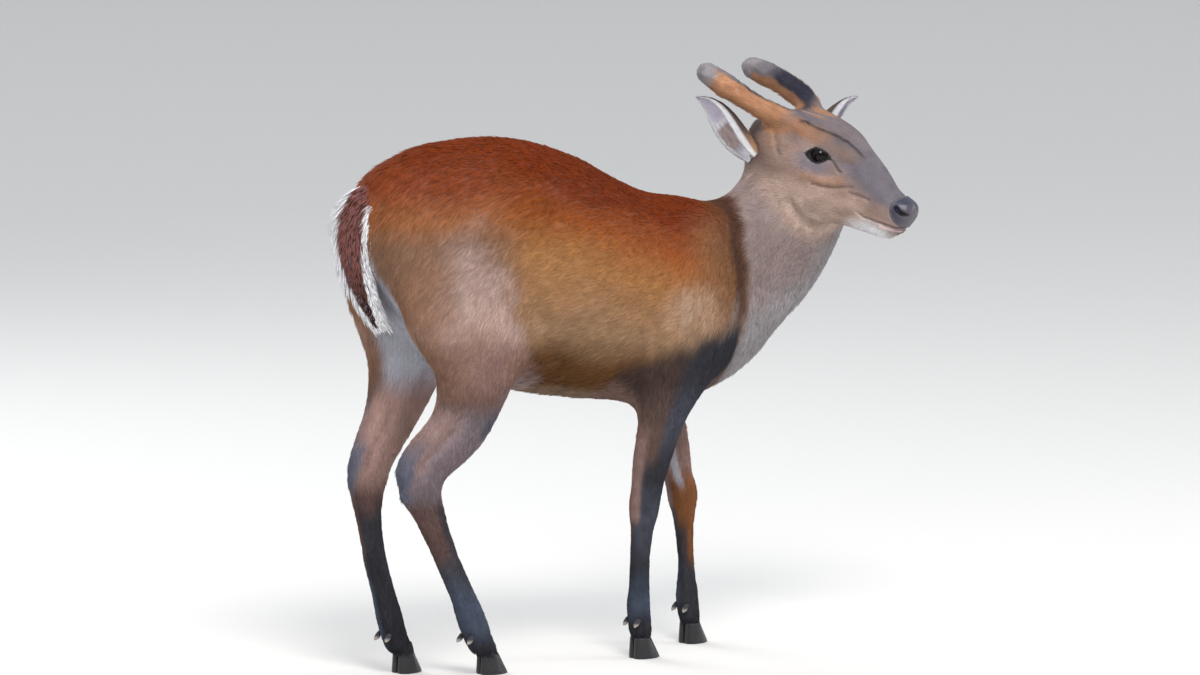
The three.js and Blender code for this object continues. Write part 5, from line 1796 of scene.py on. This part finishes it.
# Stage, light and camera.
# Floor and far wall from the middle outwards: distance and height in metres.
FLOOR = [(6.0, 0.0), (14.0, 0.0), (17.0, 0.4), (19.0, 1.8), (20.0, 4.5), (20.2, 9.0)]
FLOOR_SIDES = 96


def make_stage():
    """A pale floor that rises into a far wall all round, with no edge in sight."""
    turns = [math.tau * k / FLOOR_SIDES for k in range(FLOOR_SIDES)]
    points = [(r * math.cos(turn), r * math.sin(turn), z) for r, z in FLOOR for turn in turns]
    points.append((0.0, 0.0, 0.0))
    faces = []
    for ring in range(len(FLOOR) - 1):
        for k in range(FLOOR_SIDES):
            a, b = ring * FLOOR_SIDES + k, ring * FLOOR_SIDES + (k + 1) % FLOOR_SIDES
            faces.append((a, a + FLOOR_SIDES, b + FLOOR_SIDES, b))
    faces += [(len(points) - 1, k, (k + 1) % FLOOR_SIDES) for k in range(FLOOR_SIDES)]
    mesh = bpy.data.meshes.new("floor")
    mesh.from_pydata(points, [], faces)
    mesh.polygons.foreach_set("use_smooth", np.ones(len(faces), bool))
    shader = Shader("floor")
    set_inputs(shader.main, Base_Color=(0.68, 0.67, 0.65, 1), Roughness=0.9)
    mesh.materials.append(shader.material)
    object_of(mesh)


# Name, place, size, power, tint, and whether shiny things mirror it.
LIGHTS = [
    ("key", (-1.2, -2.6, 3.4), 1.5, 124, (1.0, 0.98, 0.95), True),
    ("fill", (-2.8, -3.2, 0.8), 3.0, 64, (0.98, 0.99, 1.0), False),
    ("front", (3.2, -2.0, 1.6), 2.0, 46, (0.97, 0.98, 1.0), True),
    ("back", (-0.5, 3.0, 2.6), 2.2, 52, (0.95, 0.97, 1.0), True),
]
LIGHT_AIM = Vector((0.0, 0.0, 0.4))


def make_lights():
    world = bpy.data.worlds.new("studio")
    world.use_nodes = True
    set_inputs(world.node_tree.nodes["Background"], Color=(0.92, 0.95, 1.0, 1), Strength=0.95)
    bpy.context.scene.world = world
    for name, place, size, power, tint, mirrored in LIGHTS:
        data = bpy.data.lights.new(name, "AREA")
        data.shape = "DISK"
        data.size = size
        data.energy = power
        data.color = tint
        light = bpy.data.objects.new(name, data)
        light.location = place
        light.rotation_euler = (LIGHT_AIM - Vector(place)).to_track_quat("-Z", "Y").to_euler()
        light.visible_glossy = mirrored
        bpy.context.scene.collection.objects.link(light)


# The photo's camera: its way round and up from level in degrees, distance, pixels for a metre, and aim.
VIEW = {"round": 35.0, "down": 6.0, "distance": 8.0, "scale": 870.0, "aim": (0.0, 0.0, 371.0)}
PHOTO_WIDTH = 1200
SENSOR = 36.0


def make_camera():
    around, down = math.radians(VIEW["round"]), math.radians(VIEW["down"])
    ahead = Vector((math.sin(around) * math.cos(down), math.cos(around) * math.cos(down), -math.sin(down)))
    data = bpy.data.cameras.new("photo_view")
    data.sensor_width = SENSOR
    data.lens = SENSOR * VIEW["scale"] * VIEW["distance"] / PHOTO_WIDTH
    data.clip_end = 100
    camera = bpy.data.objects.new("photo_view", data)
    camera.location = Vector(to_row(VIEW["aim"])) - ahead * VIEW["distance"]
    camera.rotation_mode = "QUATERNION"
    camera.rotation_quaternion = ahead.to_track_quat("-Z", "Y")
    bpy.context.scene.collection.objects.link(camera)
    bpy.context.scene.camera = camera


make_camera()
make_stage()
make_lights()
bpy.context.scene.view_settings.view_transform = "Standard"
make_coat(*make_skin())
make_tail()
for word in SIDES:
    make_ear(word)
    make_antler(word)
    make_eye(word)
    make_lids(word)
for leg in LEGS:
    make_coronet(leg)
    for word in ("outer", "inner"):
        make_hoof(leg, word)
        make_dewclaw(leg, word)
